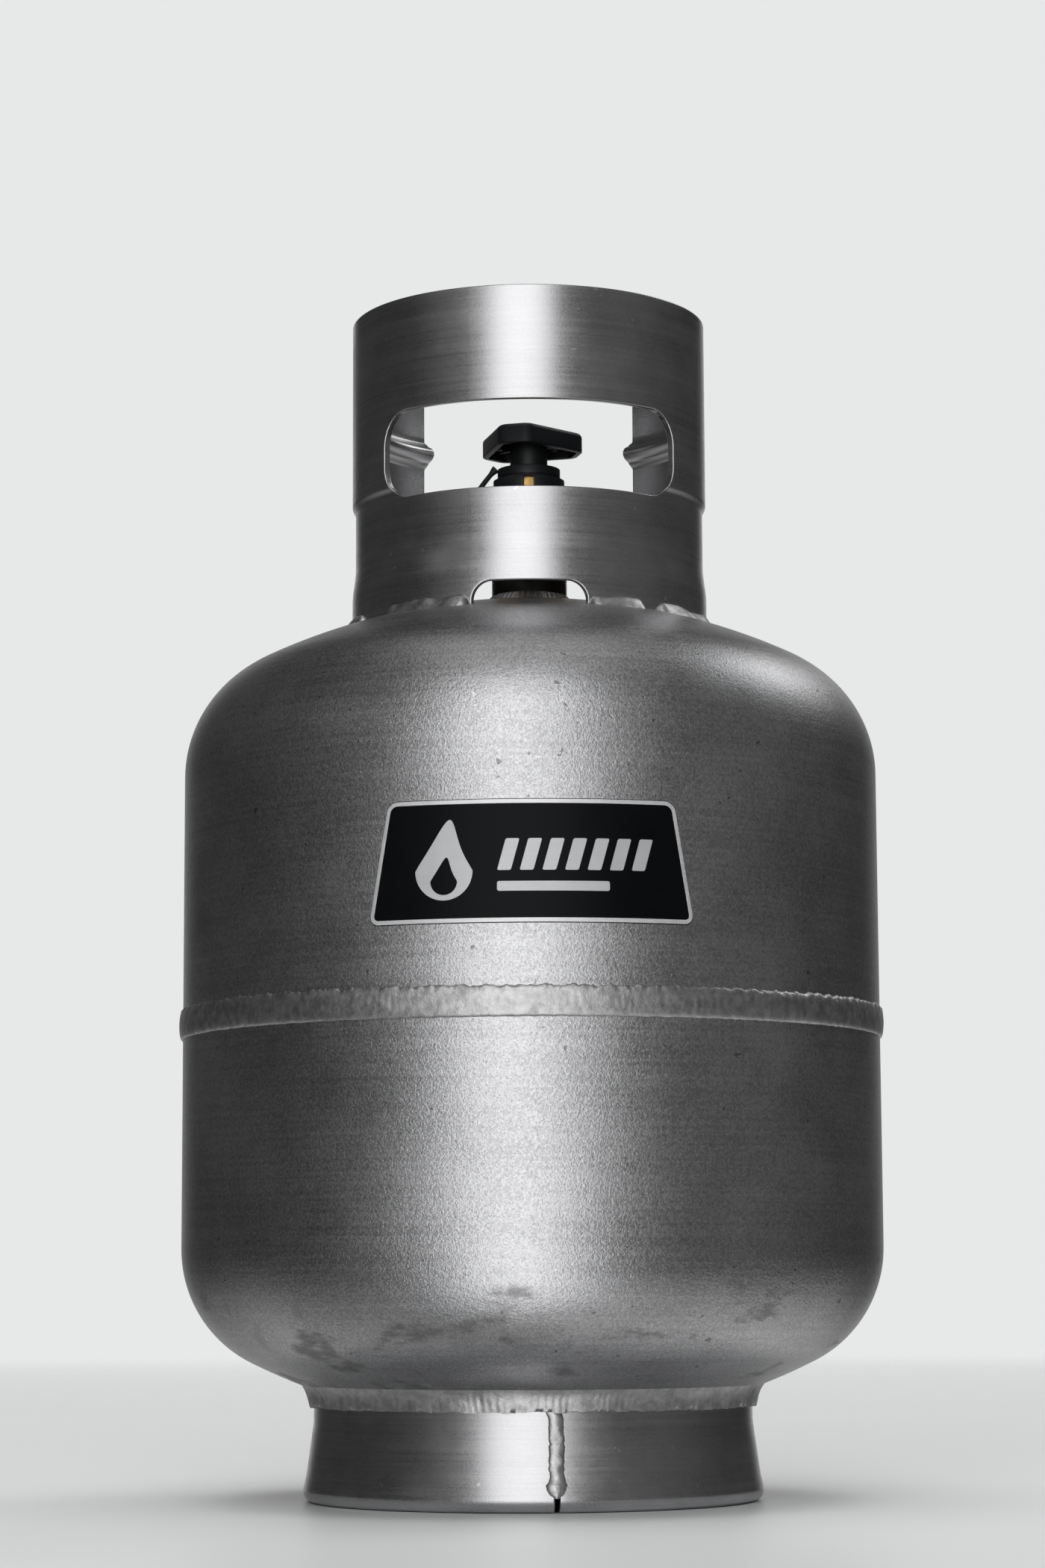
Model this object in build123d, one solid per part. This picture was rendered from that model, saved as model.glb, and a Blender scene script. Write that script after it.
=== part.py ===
from build123d import *
import math
import os

os.makedirs("parts", exist_ok=True)

# Portable propane cylinder, millimetres. The origin is the middle of the foot ring on the floor,
# +Z is up, -Y is the front with the nameplate and the hand window, and +Y is the valve's outlet.

# Pressure vessel: two drawn heads with straight skirts, joined by one girth weld
body_r = 155.0
wall = 4.0
knuckle_r = 55.6
crown_r = 280.0
ground_clear = 31.2
shell_straight = 209.0
girth_rise = 98.0
weld_root = 1.5
joggle_slope = 2.0
joggle_lip = 14.0
joggle_fit = 0.1
girth_bead_w = 13.0
girth_bead_h = 1.9

# Guard collar, measured down from its rim or around from the front
collar_r = 80.2
collar_sheet = 3.2
collar_rise = 129.2
collar_neck_in = 1.5
step_top_drop = 84.0
step_low_drop = 87.0
neck_low_drop = 112.0
flare_low_drop = 127.0
collar_half_deg = 140.5
window_half_deg = 53.0
window_top_drop = 51.0
window_h = 38.5
window_corner = 15.0
drain_top_w = 33.0
drain_low_w = 50.0
drain_h = 10.0
drain_corner = 4.0
grip_start_deg = 104.0
grip_drop = 45.5
grip_h = 8.5
grip_depth = 7.6
collar_weld_leg = 4.2
collar_weld_gaps = [(-132, -104), (-92, -66), (44, 76), (100, 132)]
collar_weld_left = -50
collar_weld_right = 38

# Foot ring
foot_top_r = 96.5
foot_spread = 4.7
foot_sheet = 3.5
foot_flare_z = 12.0
foot_flare = 3.1
foot_edge_z = 5.0
foot_lip_w = 10.2
foot_lip_edge = 2.6
foot_weld_drop = 7.85
foot_weld_out = 3.4
foot_seam_deg = 5.5
foot_seam_w = 6.0
foot_seam_h = 1.1
foot_slit_w = 2.0
foot_slit_h = 7.0

# Nameplate
plate_up = 1.5
plate_h = 50.0
plate_top_w = 117.0
plate_low_w = 133.0
plate_t = 0.8
plate_corner = 4.0

# Valve spud: the threaded boss welded in the top head
spud_wall = 3.65
spud_inside = 11.8
spud_rise = 14.2
spud_weld_leg = 5.0
seat_clear = 0.05

# Valve body, with heights counted from the top of the spud
shank_wall = 1.5
shank_below = 27.5
shank_gap = 2.0
block_w = 32.0
block_h = 11.0
block_corner = 5.0
column_r = 15.5
bonnet_l = 10.0
passage_r = 6.0
orifice_r = 4.5
seat_rise = 15.0
chamber_r = 8.0
seat_lift = 3.0
bonnet_r = 11.0
outlet_clear = 1.5
outlet_thread_r = 16.67
outlet_thread_l = 19.0
outlet_root = 0.83
outlet_face = 42.0
outlet_bore_r = 11.5
outlet_bore_l = 12.0
check_bore_r = 9.5
check_bore_l = 15.0
port_r = 4.0
side_clear = 0.8

# Bonnet, spindle, seat plug
hex_flats = 19.0
hex_h = 3.2
spindle_r = 5.0
run_fit = 0.05
seal_cord = 0.8
seal_groove_h = 2.0
thrust_r = 7.4
thrust_h = 2.0
tang_w = 6.0
tang_clear = 0.15
thread_fit = 0.08
plug_thread_l = 4.0
plug_nose_r = 6.4
plug_nose_l = 7.0
seat_disc_r = 5.8
seat_disc_h = 2.5

# Handwheel and its shroud
wheel_h = 9.0
wheel_lobe_at = 14.5
wheel_lobe_r = 10.8
wheel_skirt = 2.6
wheel_top = 3.0
wheel_rib = 2.0
wheel_dome = 2.2
wheel_turn_deg = 44.0
hub_r = 8.5
hub_below = 7.7
hub_clear = 0.3
wheel_square = 6.4
shroud_gap = 0.48
shroud_wall = 2.8
shroud_clear = 0.5
shroud_top = 1.7
arch_w = 8.0
arch_h = 1.2
screw_r = 2.0
screw_head_r = 3.6
screw_head_h = 2.0
screw_l = 8.0
washer_r = 4.8
washer_h = 0.8

# Outlet check
seat_ring_l = 3.0
seat_ring_bore_r = 5.6
outlet_seal_l = 2.5
outlet_seal_bore_r = 7.5
check_head_r = 7.6
check_head_l = 3.0
check_nose_gap = 0.4
check_nose_l = 6.0
check_spring_r = 5.6
check_wire_r = 0.45

# Relief valve, on the side away from the outlet
relief_boss_wall = 1.8
relief_face = 30.0
relief_bore_r = 7.0
relief_bore_l = 13.0
relief_port_r = 3.0
relief_seal_r = 5.6
relief_seal_l = 2.0
relief_head_gap = 0.6
relief_head_l = 2.0
relief_stem_r = 1.8
relief_stem_l = 6.5
relief_nut_l = 3.0
relief_nut_bore_r = 2.2
relief_vent_r = 1.1
relief_vent_at = 4.6
relief_spring_r = 4.3
relief_wire_r = 0.5
relief_cap_wall = 1.4
relief_cap_l = 6.0

# Bleed screw with its fixed-level tube
bleed_boss_r = 5.5
bleed_face = 20.0
bleed_thread_r = 2.5
bleed_tip_l = 6.0
bleed_head_r = 4.5
bleed_head_l = 4.0
bleed_slot_w = 1.2
tube_gap = 0.4
tube_r = 1.6
tube_bore_r = 1.0
tube_length_mark = 101.6
tube_seat = 15.5

# Overfill stop: housing, piston, float and its arm
neck_r = 7.0
neck_l = 6.9
neck_bore_r = 4.5
housing_r = 8.2
housing_l = 37.5
guide_r = 4.0
stop_orifice_r = 2.8
stop_orifice_l = 6.5
window_r = 1.9
fork_side_gap = 0.3
fork_above_cam = 2.5
pivot_up = 5.0
pivot_pin_r = 1.25
cam_r = 6.0
cam_offset = 3.28
cam_rest_deg = 125.0
piston_fit = 0.08
stop_lift = 3.0
arm_w = 4.0
arm_t = 3.0
arm_down = 16.0
stud_r = 1.5
stud_l = 6.0
float_gap = 0.2
float_l = 50.0

# Dust plug and its tether
flange_r = 16.2
flange_t = 3.7
nose_gap = 0.3
nose_l = 8.0
nose_wall = 1.6
pull_w = 12.0
pull_h = 16.0
pull_t = 3.0
pull_l = 8.0
plug_gap = 0.1
tether_w = 5.0
tether_t = 2.2
tether_from_shroud = [(-3.5, 1, -3.5), (-13.5, 5, -16), (-25.5, 19, -31.5)]
tether_to_plug = [(-37.85, -9.6, -10.5), (-27.35, 3.4, -9.5)]
tether_corner_r = [20.0, 30.0, 30.0, 17.0, 10.0]

# Radii that follow from the pieces that fit in one another, from the inside out
tube_x = housing_r + tube_gap + tube_r
shank_r = tube_x + tube_r + shank_wall
spud_bore_r = shank_r + seat_clear
spud_r = spud_bore_r + spud_wall
float_r = housing_r - float_gap
fork_gap = arm_w + 2 * fork_side_gap
plug_thread_r = chamber_r - thread_fit
check_nose_r = seat_ring_bore_r - check_nose_gap
nose_r = outlet_bore_r - nose_gap
outlet_root_r = outlet_thread_r + outlet_root
relief_boss_r = relief_bore_r + relief_boss_wall
relief_head_r = relief_bore_r - relief_head_gap
shroud_r = hex_flats / math.sqrt(3) + shroud_gap + shroud_wall
collar_in_r = collar_r - collar_sheet
foot_low_r = foot_top_r + foot_spread
foot_flare_r = foot_top_r + foot_flare
foot_lip_r = foot_low_r - foot_lip_w

# The vessel's heights, and where the collar and the foot ring meet its heads
crown_drop = math.sqrt((crown_r - knuckle_r) ** 2 - (body_r - knuckle_r) ** 2)
head_depth = crown_r - crown_drop
tangent_low = ground_clear + head_depth
tangent_high = tangent_low + shell_straight
girth_z = tangent_low + girth_rise
apex_z = tangent_high + head_depth
rim_z = apex_z + collar_rise
collar_seat_z = apex_z - crown_r + math.sqrt(crown_r ** 2 - collar_r ** 2)
foot_joint_z = ground_clear + crown_r - math.sqrt(crown_r ** 2 - foot_top_r ** 2)
foot_weld_low = foot_joint_z - foot_weld_drop
drain_edge_deg = math.degrees((drain_low_w / 2 + 1.6) / collar_r)
plate_low = (girth_z + tangent_high - plate_h) / 2 + plate_up

# Heights up the valve
spud_top = apex_z + spud_rise
block_low = spud_top + shank_gap
block_top = block_low + block_h
seat_z = spud_top + seat_rise
plug_low = seat_z + seat_disc_h
plug_top = plug_low + plug_nose_l + plug_thread_l
thrust_low = plug_top + seat_lift + 0.4
spindle_low = thrust_low + thrust_h
bonnet_low = spindle_low + 2 * run_fit
column_top = bonnet_low + bonnet_l
hex_top = column_top + hex_h
bonnet_top = hex_top + 2.2
wheel_z = bonnet_top + 0.4 + hub_below
shroud_h = hex_h + shroud_clear + shroud_top
square_low = wheel_z - hub_below + 1.0
hub_top = wheel_z + wheel_h - wheel_top
tang_low = plug_low + 2 + seat_lift + 0.3
outlet_z = spud_top + outlet_root_r + outlet_clear
side_z = spud_top + relief_boss_r + side_clear

# Places along the outlet and the relief valve
check_floor = outlet_face - outlet_bore_l - check_bore_l
seat_ring_in = outlet_face - outlet_bore_l - seat_ring_l
relief_seat = relief_face - relief_bore_l
relief_poppet_back = relief_seat + relief_seal_l + relief_head_l

# Heights down the overfill stop
shank_low = spud_top - shank_below
guide_top = shank_low - stop_orifice_l
pivot_z = shank_low - housing_l + pivot_up
fork_h = pivot_up + cam_r + fork_above_cam

DOWN = (Align.CENTER, Align.CENTER, Align.MIN)


def rod(radius, low, high, x=0.0, y=0.0):
    """A plain cylinder standing between two heights."""
    return Pos(x, y, low) * Cylinder(radius, high - low, align=DOWN)


def rod_y(radius, start, end, z, x=0.0):
    """A plain cylinder lying along Y."""
    return Pos(x, min(start, end), z) * Rot(-90, 0, 0) * Cylinder(radius, abs(end - start), align=DOWN)


def rod_x(radius, start, end, z, y=0.0):
    """A plain cylinder lying along X."""
    return Pos(min(start, end), y, z) * Rot(0, 90, 0) * Cylinder(radius, abs(end - start), align=DOWN)


def turned(points, start_deg=0.0, arc_deg=360.0):
    """A body turned about the vertical axis from (radius, height) points; angles run from the front."""
    outline = Plane.XZ * make_face(Polyline(*points, close=True))
    return revolve(Rot(0, 0, start_deg - 90) * outline, Axis.Z, arc_deg)


def vessel(inset):
    """The whole closed vessel as one solid, inset from the outside surface."""
    side_r, corner, dish = body_r - inset, knuckle_r - inset, crown_r - inset
    join = math.degrees(math.atan2(body_r - knuckle_r, crown_drop))
    outline = Line((side_r, tangent_low), (side_r, tangent_high))
    outline += CenterArc((body_r - knuckle_r, tangent_high), corner, 0, 90 - join)
    outline += CenterArc((0, tangent_high - crown_drop), dish, 90 - join, join)
    low_apex = tangent_low + crown_drop - dish
    high_apex = tangent_high - crown_drop + dish
    outline += Line((0, high_apex), (0, low_apex))
    outline += CenterArc((0, tangent_low + crown_drop), dish, 270, join)
    outline += CenterArc((body_r - knuckle_r, tangent_low), corner, 270 + join, 90 - join)
    return revolve(Plane.XZ * make_face(outline), Axis.Z, 360)


def edges_near(shape, points, reach=1.0):
    """The edges whose middles lie at the given points."""
    return [e for e in shape.edges() if any((e.center() - Vector(*p)).length < reach for p in points)]


def around(radius, deg, z):
    """A point at a radius, an angle from the front and a height."""
    turn = math.radians(deg)
    return (radius * math.sin(turn), -radius * math.cos(turn), z)


def spring_along_y(coil_r, wire_r, start, end, turns, z):
    """A round-wire compression spring along Y between two places."""
    length = abs(end - start) - 2 * wire_r
    path = Helix(length / turns, length, coil_r)
    section = Plane(origin=path @ 0, z_dir=path % 0) * Circle(wire_r)
    coil = sweep(section, path, is_frenet=True)
    return Pos(0, min(start, end) + wire_r, z) * Rot(-90, 0, 0) * coil


outer_vessel = vessel(0)


# ---------------------------------------------------------------- pressure vessel

def make_upper_shell():
    shell = split(outer_vessel - vessel(wall), Plane.XY.offset(girth_z + weld_root), keep=Keep.TOP)
    return shell - rod(spud_r + seat_clear, tangent_high, rim_z)


def make_lower_shell():
    shell = split(outer_vessel - vessel(wall), Plane.XY.offset(girth_z - 10), keep=Keep.BOTTOM)
    fold_in = body_r - wall
    lip_out = fold_in - joggle_fit
    lip_in = lip_out - wall
    joggle = turned([
        (body_r, girth_z - 10), (body_r, girth_z - weld_root),
        (lip_out, girth_z - weld_root + joggle_slope), (lip_out, girth_z + joggle_lip),
        (lip_in, girth_z + joggle_lip), (lip_in, girth_z - 6), (fold_in, girth_z - 10),
    ])
    return shell + joggle


def make_girth_weld():
    lip_out = body_r - wall - joggle_fit
    half = girth_bead_w / 2
    low, high = (body_r, girth_z - half), (body_r, girth_z + half)
    outline = ThreePointArc(low, (body_r + girth_bead_h, girth_z), high)
    outline += Polyline(
        high, (body_r, girth_z + weld_root), (lip_out, girth_z + weld_root),
        (lip_out, girth_z - weld_root + joggle_slope), (body_r, girth_z - weld_root), low,
    )
    return revolve(Plane.XZ * make_face(outline), Axis.Z, 360)


def make_valve_spud():
    spud = rod(spud_r, apex_z - spud_inside, spud_top)
    spud = chamfer(spud.edges().group_by(Axis.Z)[-1], 1.2)
    return spud - rod(spud_bore_r, apex_z - spud_inside - 1, spud_top + 1)


def make_spud_weld():
    toe = spud_r + spud_weld_leg
    fillet_ring = turned([
        (spud_r, apex_z - 4), (toe, apex_z - 4), (toe, apex_z - 0.6),
        (spud_r + 1.6, apex_z + spud_weld_leg - 1.8), (spud_r, apex_z + spud_weld_leg),
    ])
    return fillet_ring - outer_vessel - rod(spud_r, apex_z - 9, apex_z + 9)


# ---------------------------------------------------------------- collar and foot ring

def make_collar():
    neck_r = collar_r - collar_neck_in
    outside = [
        (collar_r, rim_z), (collar_r, rim_z - step_top_drop), (neck_r, rim_z - step_low_drop),
        (neck_r, rim_z - neck_low_drop), (collar_r, rim_z - flare_low_drop), (collar_r, apex_z - 20),
    ]
    inside = [(r - collar_sheet, z) for r, z in reversed(outside)]
    collar = turned(outside + inside, -collar_half_deg, 2 * collar_half_deg)
    window_top = rim_z - window_top_drop
    window_low = window_top - window_h
    collar -= turned([
        (collar_in_r - 5, window_low), (collar_r + 5, window_low),
        (collar_r + 5, window_top), (collar_in_r - 5, window_top),
    ], -window_half_deg, 2 * window_half_deg)
    mid_r = collar_r - collar_sheet / 2
    low_mid_r = mid_r if window_low > rim_z - step_top_drop else mid_r - collar_neck_in
    corners = [around(mid_r, side * window_half_deg, window_top) for side in (-1, 1)]
    corners += [around(low_mid_r, side * window_half_deg, window_low) for side in (-1, 1)]
    collar = fillet(edges_near(collar, corners, 1.2), window_corner)
    grip_z = rim_z - grip_drop
    half = grip_h / 2
    for start in (grip_start_deg, -collar_half_deg):
        span = collar_half_deg - grip_start_deg
        nose = collar_in_r - grip_depth
        collar += turned([
            (collar_in_r + 1, grip_z - half), (collar_in_r + 1, grip_z + half),
            (collar_in_r - 2, grip_z + half), (nose + 1.2, grip_z + half - 1.6), (nose, grip_z),
            (nose + 1.2, grip_z - half + 1.6), (collar_in_r - 2, grip_z - half),
        ], start, span)
        collar -= turned([
            (collar_r + 1, grip_z - 1.8), (collar_r + 1, grip_z + 1.8),
            (nose + 3.2, grip_z + 1.2), (nose + 3.2, grip_z - 1.2),
        ], start, span)
    drain_top = apex_z - 2.0
    low = drain_top - drain_h * 2
    spread = drain_low_w - drain_top_w
    drain = make_face(Polyline(
        (-drain_top_w / 2, drain_top), (drain_top_w / 2, drain_top),
        (drain_top_w / 2 + spread, low), (-drain_top_w / 2 - spread, low), close=True,
    ))
    drain = fillet(drain.vertices().group_by(Axis.Y)[-1], drain_corner)
    collar -= extrude(Plane.XZ * drain, collar_r + 10)
    return collar - outer_vessel


def make_collar_welds():
    beads = []
    spans = collar_weld_gaps + [(collar_weld_left, -drain_edge_deg), (drain_edge_deg, collar_weld_right)]
    for start, end in spans:
        toe = collar_r + collar_weld_leg
        foot = collar_seat_z - 10.3
        bead = turned([
            (collar_r, foot), (toe + 1.5, foot), (toe, collar_seat_z - 0.9),
            (collar_r + 1.4, collar_seat_z + 2.7), (collar_r, collar_seat_z + 3.5),
        ], start, end - start)
        beads.append((bead - outer_vessel).solid())
    return Compound(children=beads)


def foot_outside():
    """The foot ring's outside, from the head down to the floor, as (radius, height) points."""
    return [
        (foot_top_r, ground_clear + 22), (foot_top_r, foot_weld_low - 6), (foot_flare_r, foot_flare_z),
        (foot_low_r, foot_edge_z), (foot_low_r - 0.7, foot_lip_edge - 0.6), (foot_low_r - foot_lip_edge, 0),
    ]


def make_foot_ring():
    outside = foot_outside()
    inside = [(foot_lip_r, 0), (foot_lip_r, foot_sheet), (foot_low_r - foot_lip_edge - 1.6, foot_sheet)]
    inside += [(r - foot_sheet, z) for r, z in reversed(outside[:4])]
    ring = turned(outside + inside) - outer_vessel
    slit = Pos(0, -foot_low_r, 0) * Box(foot_slit_w, 30, 2 * foot_slit_h)
    return ring - Rot(0, 0, foot_seam_deg) * slit


def make_foot_ring_weld():
    low, out = foot_weld_low, foot_weld_out
    bead = turned([
        (foot_top_r, low), (foot_top_r + out * 0.6, low + 2), (foot_top_r + out * 0.9, low + 5),
        (foot_top_r + out + 1.6, low + 14), (foot_top_r, low + 14),
    ])
    return bead - outer_vessel


def make_foot_seam_weld():
    inner = [(foot_top_r, foot_weld_low)] + foot_outside()[1:4]
    outer = [(r + foot_seam_h, z) for r, z in reversed(inner)]
    outer[0] = (outer[0][0] - foot_seam_h / 2, outer[0][1] + 2)
    outer[-1] = (outer[-1][0] - foot_seam_h / 2, outer[-1][1] - 2)
    arc = math.degrees(foot_seam_w / foot_low_r)
    return turned(inner + outer, foot_seam_deg - arc / 2, arc)


def make_nameplate():
    high = plate_low + plate_h
    band = rod(body_r + plate_t, plate_low, high) - rod(body_r, plate_low - 1, high + 1)
    trapezoid = make_face(Polyline(
        (-plate_low_w / 2, plate_low), (plate_low_w / 2, plate_low),
        (plate_top_w / 2, high), (-plate_top_w / 2, high), close=True,
    ))
    trapezoid = fillet(trapezoid.vertices(), plate_corner)
    return band & extrude(Plane.XZ * trapezoid, body_r + 10)


# ---------------------------------------------------------------- valve body and bonnet

def make_valve_body():
    block = Pos(0, 0, block_low) * extrude(RectangleRounded(block_w, block_w, block_corner), block_h)
    body = rod(shank_r, shank_low, block_low + 1) + block + rod(column_r, block_top - 1, column_top)
    thread_start = outlet_face - outlet_thread_l
    thread = rod_y(outlet_thread_r, 0, outlet_face, outlet_z)
    thread = chamfer(thread.edges().group_by(Axis.Y)[-1], 1.5)
    body += thread + rod_y(outlet_root_r, 0, thread_start - 2, outlet_z)
    body += rod_y(relief_boss_r, 0, -relief_face, side_z)
    body += rod_x(bleed_boss_r, 0, bleed_face, side_z)
    body -= rod(passage_r, shank_low - 1, seat_z - 6)
    body -= rod(neck_r + seat_clear, shank_low - 1, shank_low + neck_l + 0.1)
    body -= rod(orifice_r, seat_z - 7, seat_z + 1)
    body -= rod(chamber_r, seat_z, bonnet_low + 1)
    body -= rod(bonnet_r + seat_clear, bonnet_low, column_top + 1)
    body -= rod_y(port_r, 0, check_floor + 1, outlet_z)
    body -= rod_y(check_bore_r, check_floor, outlet_face, outlet_z)
    body -= rod_y(outlet_bore_r, outlet_face - outlet_bore_l, outlet_face + 1, outlet_z)
    body -= rod_y(relief_port_r, 0, -relief_seat - 1, side_z)
    body -= rod_y(relief_bore_r, -relief_seat, -relief_face - 1, side_z)
    body -= rod(tube_r + 0.02, shank_low - 1, side_z, tube_x)
    body -= rod_x(tube_bore_r, tube_x, bleed_face, side_z)
    body -= rod_x(bleed_thread_r + run_fit, bleed_face - bleed_tip_l - 0.2, bleed_face + 1, side_z)
    return body


def make_bonnet():
    hexagon = extrude(Pos(0, 0, column_top) * RegularPolygon(hex_flats / 2, 6, major_radius=False), hex_h)
    bonnet = rod(bonnet_r, bonnet_low, column_top) + hexagon + rod(hex_flats / 2 - 1.3, hex_top, bonnet_top)
    bonnet -= rod(spindle_r + run_fit, bonnet_low - 1, bonnet_top + 1)
    for groove in seal_grooves():
        bonnet -= rod(spindle_r + 2 * seal_cord + 0.1, groove, groove + seal_groove_h)
    return bonnet


def seal_grooves():
    """The lower faces of the two grooves for the spindle's seals."""
    return [bonnet_low + 3.0, bonnet_low + 7.5]


def make_stem_seals():
    rings = []
    for groove in seal_grooves():
        ring = Pos(0, 0, groove + seal_groove_h / 2) * Torus(spindle_r + run_fit + seal_cord, seal_cord)
        rings.append(ring.solid())
    return Compound(children=rings)


def make_bonnet_shroud():
    low, high = column_top, column_top + shroud_h
    shroud = rod(shroud_r, low, high) - rod(shroud_r - shroud_wall, low - 1, high - shroud_top)
    shroud -= rod(hub_r + hub_clear, low, high + 1)
    arch_r = (arch_w ** 2 / 4 + arch_h ** 2) / (2 * arch_h)
    return shroud - rod_y(arch_r, 0, -2 * shroud_r, low + arch_h - arch_r)


# ---------------------------------------------------------------- spindle, seat and handwheel

def make_spindle():
    spindle = rod(thrust_r, thrust_low, spindle_low) + rod(spindle_r, spindle_low - 1, square_low)
    spindle += Pos(0, 0, tang_low) * Box(tang_w, tang_w, thrust_low + 1 - tang_low, align=DOWN)
    square_l = hub_top - 2.4 - square_low
    spindle += Pos(0, 0, square_low) * Box(wheel_square, wheel_square, square_l, align=DOWN)
    return spindle - rod(screw_r + 0.02, hub_top - screw_l - 1, hub_top)


def make_seat_plug():
    step = plug_low + plug_nose_l
    plug = rod(plug_nose_r, plug_low, step) + rod(plug_thread_r, step, plug_top)
    socket = tang_w + 2 * tang_clear
    return plug - Pos(0, 0, plug_low + 2) * Box(socket, socket, 30, align=DOWN)


def make_seat_disc():
    return rod(seat_disc_r, seat_z, plug_low)


def wheel_outline(inset):
    """The handwheel's three rounded lobes joined by flat sides."""
    lobes = [Rot(0, 0, 120 * k) * Pos(0, wheel_lobe_at, 0) * Circle(wheel_lobe_r - inset) for k in range(3)]
    return Rot(0, 0, wheel_turn_deg) * make_hull([e for lobe in lobes for e in lobe.edges()])


def make_handwheel():
    wheel = Pos(0, 0, wheel_z) * extrude(wheel_outline(0), wheel_h)
    wheel = fillet(wheel.edges().group_by(Axis.Z)[-1], wheel_dome)
    hollow = Pos(0, 0, wheel_z - 1) * extrude(wheel_outline(wheel_skirt), wheel_h - wheel_top + 1)
    wheel -= hollow
    wheel += rod(hub_r, wheel_z - hub_below, hub_top + 1)
    rib_l = wheel_lobe_at + wheel_lobe_r - wheel_skirt + 1
    rib = Pos(0, 0, wheel_z + wheel_top) * Box(
        wheel_rib, rib_l, hub_top - wheel_z - 2, align=(Align.CENTER, Align.MIN, Align.MIN))
    for k in range(3):
        wheel += Rot(0, 0, 120 * k + wheel_turn_deg) * rib
    wheel -= rod(spindle_r + hub_clear, wheel_z - hub_below - 1, square_low)
    square = wheel_square + 0.2
    wheel -= Pos(0, 0, square_low - 1) * Box(square, square, hub_top - 1.2 - square_low, align=DOWN)
    wheel -= rod(screw_r + 0.3, hub_top - 3, hub_top + 1)
    return wheel - rod(washer_r + 0.4, hub_top, wheel_z + wheel_h + 1)


def make_handwheel_washer():
    return rod(washer_r, hub_top, hub_top + washer_h) - rod(screw_r + 0.2, hub_top - 1, hub_top + 2)


def make_handwheel_screw():
    low = hub_top + washer_h
    head = rod(screw_head_r, low, low + screw_head_h)
    head = fillet(head.edges().group_by(Axis.Z)[-1], 0.8)
    head -= Pos(0, 0, low + screw_head_h) * Box(1.0, 2 * screw_head_r + 1, 1.8)
    return head + rod(screw_r, low - screw_l, low + 0.2)


# ---------------------------------------------------------------- outlet check

def make_outlet_seat_ring():
    ring = rod_y(check_bore_r - seat_clear, seat_ring_in, seat_ring_in + seat_ring_l, outlet_z)
    return ring - rod_y(seat_ring_bore_r, seat_ring_in - 1, outlet_face, outlet_z)


def make_outlet_seal():
    start = seat_ring_in + seat_ring_l
    seal = rod_y(outlet_bore_r - seat_clear, start, start + outlet_seal_l, outlet_z)
    return seal - rod_y(outlet_seal_bore_r, start - 1, outlet_face, outlet_z)


def make_outlet_poppet():
    head = rod_y(check_head_r, seat_ring_in - check_head_l, seat_ring_in, outlet_z)
    nose = rod_y(check_nose_r, seat_ring_in - 1, seat_ring_in + check_nose_l, outlet_z)
    return head + chamfer(nose.edges().group_by(Axis.Y)[-1], 0.8)


def make_outlet_spring():
    return spring_along_y(check_spring_r, check_wire_r, check_floor, seat_ring_in - check_head_l, 4, outlet_z)


# ---------------------------------------------------------------- relief valve

def make_relief_seal():
    return rod_y(relief_seal_r, -relief_seat, -relief_seat - relief_seal_l, side_z)


def make_relief_poppet():
    front = -relief_seat - relief_seal_l
    head = rod_y(relief_head_r, front, front - relief_head_l, side_z)
    return head + rod_y(relief_stem_r, front, -relief_poppet_back - relief_stem_l, side_z)


def make_relief_spring():
    return spring_along_y(relief_spring_r, relief_wire_r, -relief_face + relief_nut_l - 0.5,
                          -relief_poppet_back, 4, side_z)


def make_relief_nut():
    back = -relief_face + relief_nut_l - 0.5
    nut = rod_y(relief_bore_r - seat_clear, back, back - relief_nut_l, side_z)
    nut -= rod_y(relief_nut_bore_r, back + 1, back - relief_nut_l - 1, side_z)
    for k in range(3):
        turn = math.radians(120 * k + 90)
        x, z = relief_vent_at * math.cos(turn), side_z + relief_vent_at * math.sin(turn)
        nut -= rod_y(relief_vent_r, back + 1, back - relief_nut_l - 1, z, x)
    return nut


def make_relief_cap():
    mouth = -relief_face + relief_cap_l - relief_cap_wall - 0.6
    end = mouth - relief_cap_l
    cap = rod_y(relief_boss_r + relief_cap_wall, mouth, end, side_z)
    cap = chamfer(cap.edges().group_by(Axis.Y)[0], 0.8)
    return cap - rod_y(relief_boss_r + seat_clear, mouth + 1, end + relief_cap_wall, side_z)


# ---------------------------------------------------------------- bleed screw and fixed-level tube

def make_bleed_screw():
    head = rod_x(bleed_head_r, bleed_face + 0.2, bleed_face + 0.2 + bleed_head_l, side_z)
    head = chamfer(head.edges().group_by(Axis.X)[-1], 0.5)
    head -= Pos(bleed_face + bleed_head_l + 0.2, 0, side_z) * Box(2.4, 2 * bleed_head_r + 1, bleed_slot_w)
    return head + rod_x(bleed_thread_r, bleed_face - bleed_tip_l, bleed_face + 1, side_z)


def make_level_tube():
    low = spud_top - tube_length_mark
    high = shank_low + tube_seat
    return rod(tube_r, low, high, tube_x) - rod(tube_bore_r, low - 1, high + 1, tube_x)


# ---------------------------------------------------------------- overfill stop

def make_stop_housing():
    low = shank_low - housing_l
    housing = rod(housing_r, low, shank_low) + rod(neck_r, shank_low - 1, shank_low + neck_l)
    housing -= rod(guide_r, low - 1, guide_top)
    housing -= rod(stop_orifice_r, low, shank_low + 1)
    housing -= rod(neck_bore_r, shank_low, shank_low + neck_l + 1)
    housing -= rod_y(window_r, -housing_r - 1, housing_r + 1, guide_top - 2)
    fork_slot = Box(fork_gap, 4 * housing_r, 2 * fork_h, align=(Align.CENTER, Align.CENTER, Align.MAX))
    housing -= Pos(0, 0, low + fork_h) * fork_slot
    return housing - rod_x(pivot_pin_r, -housing_r - 1, housing_r + 1, pivot_z)


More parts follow.
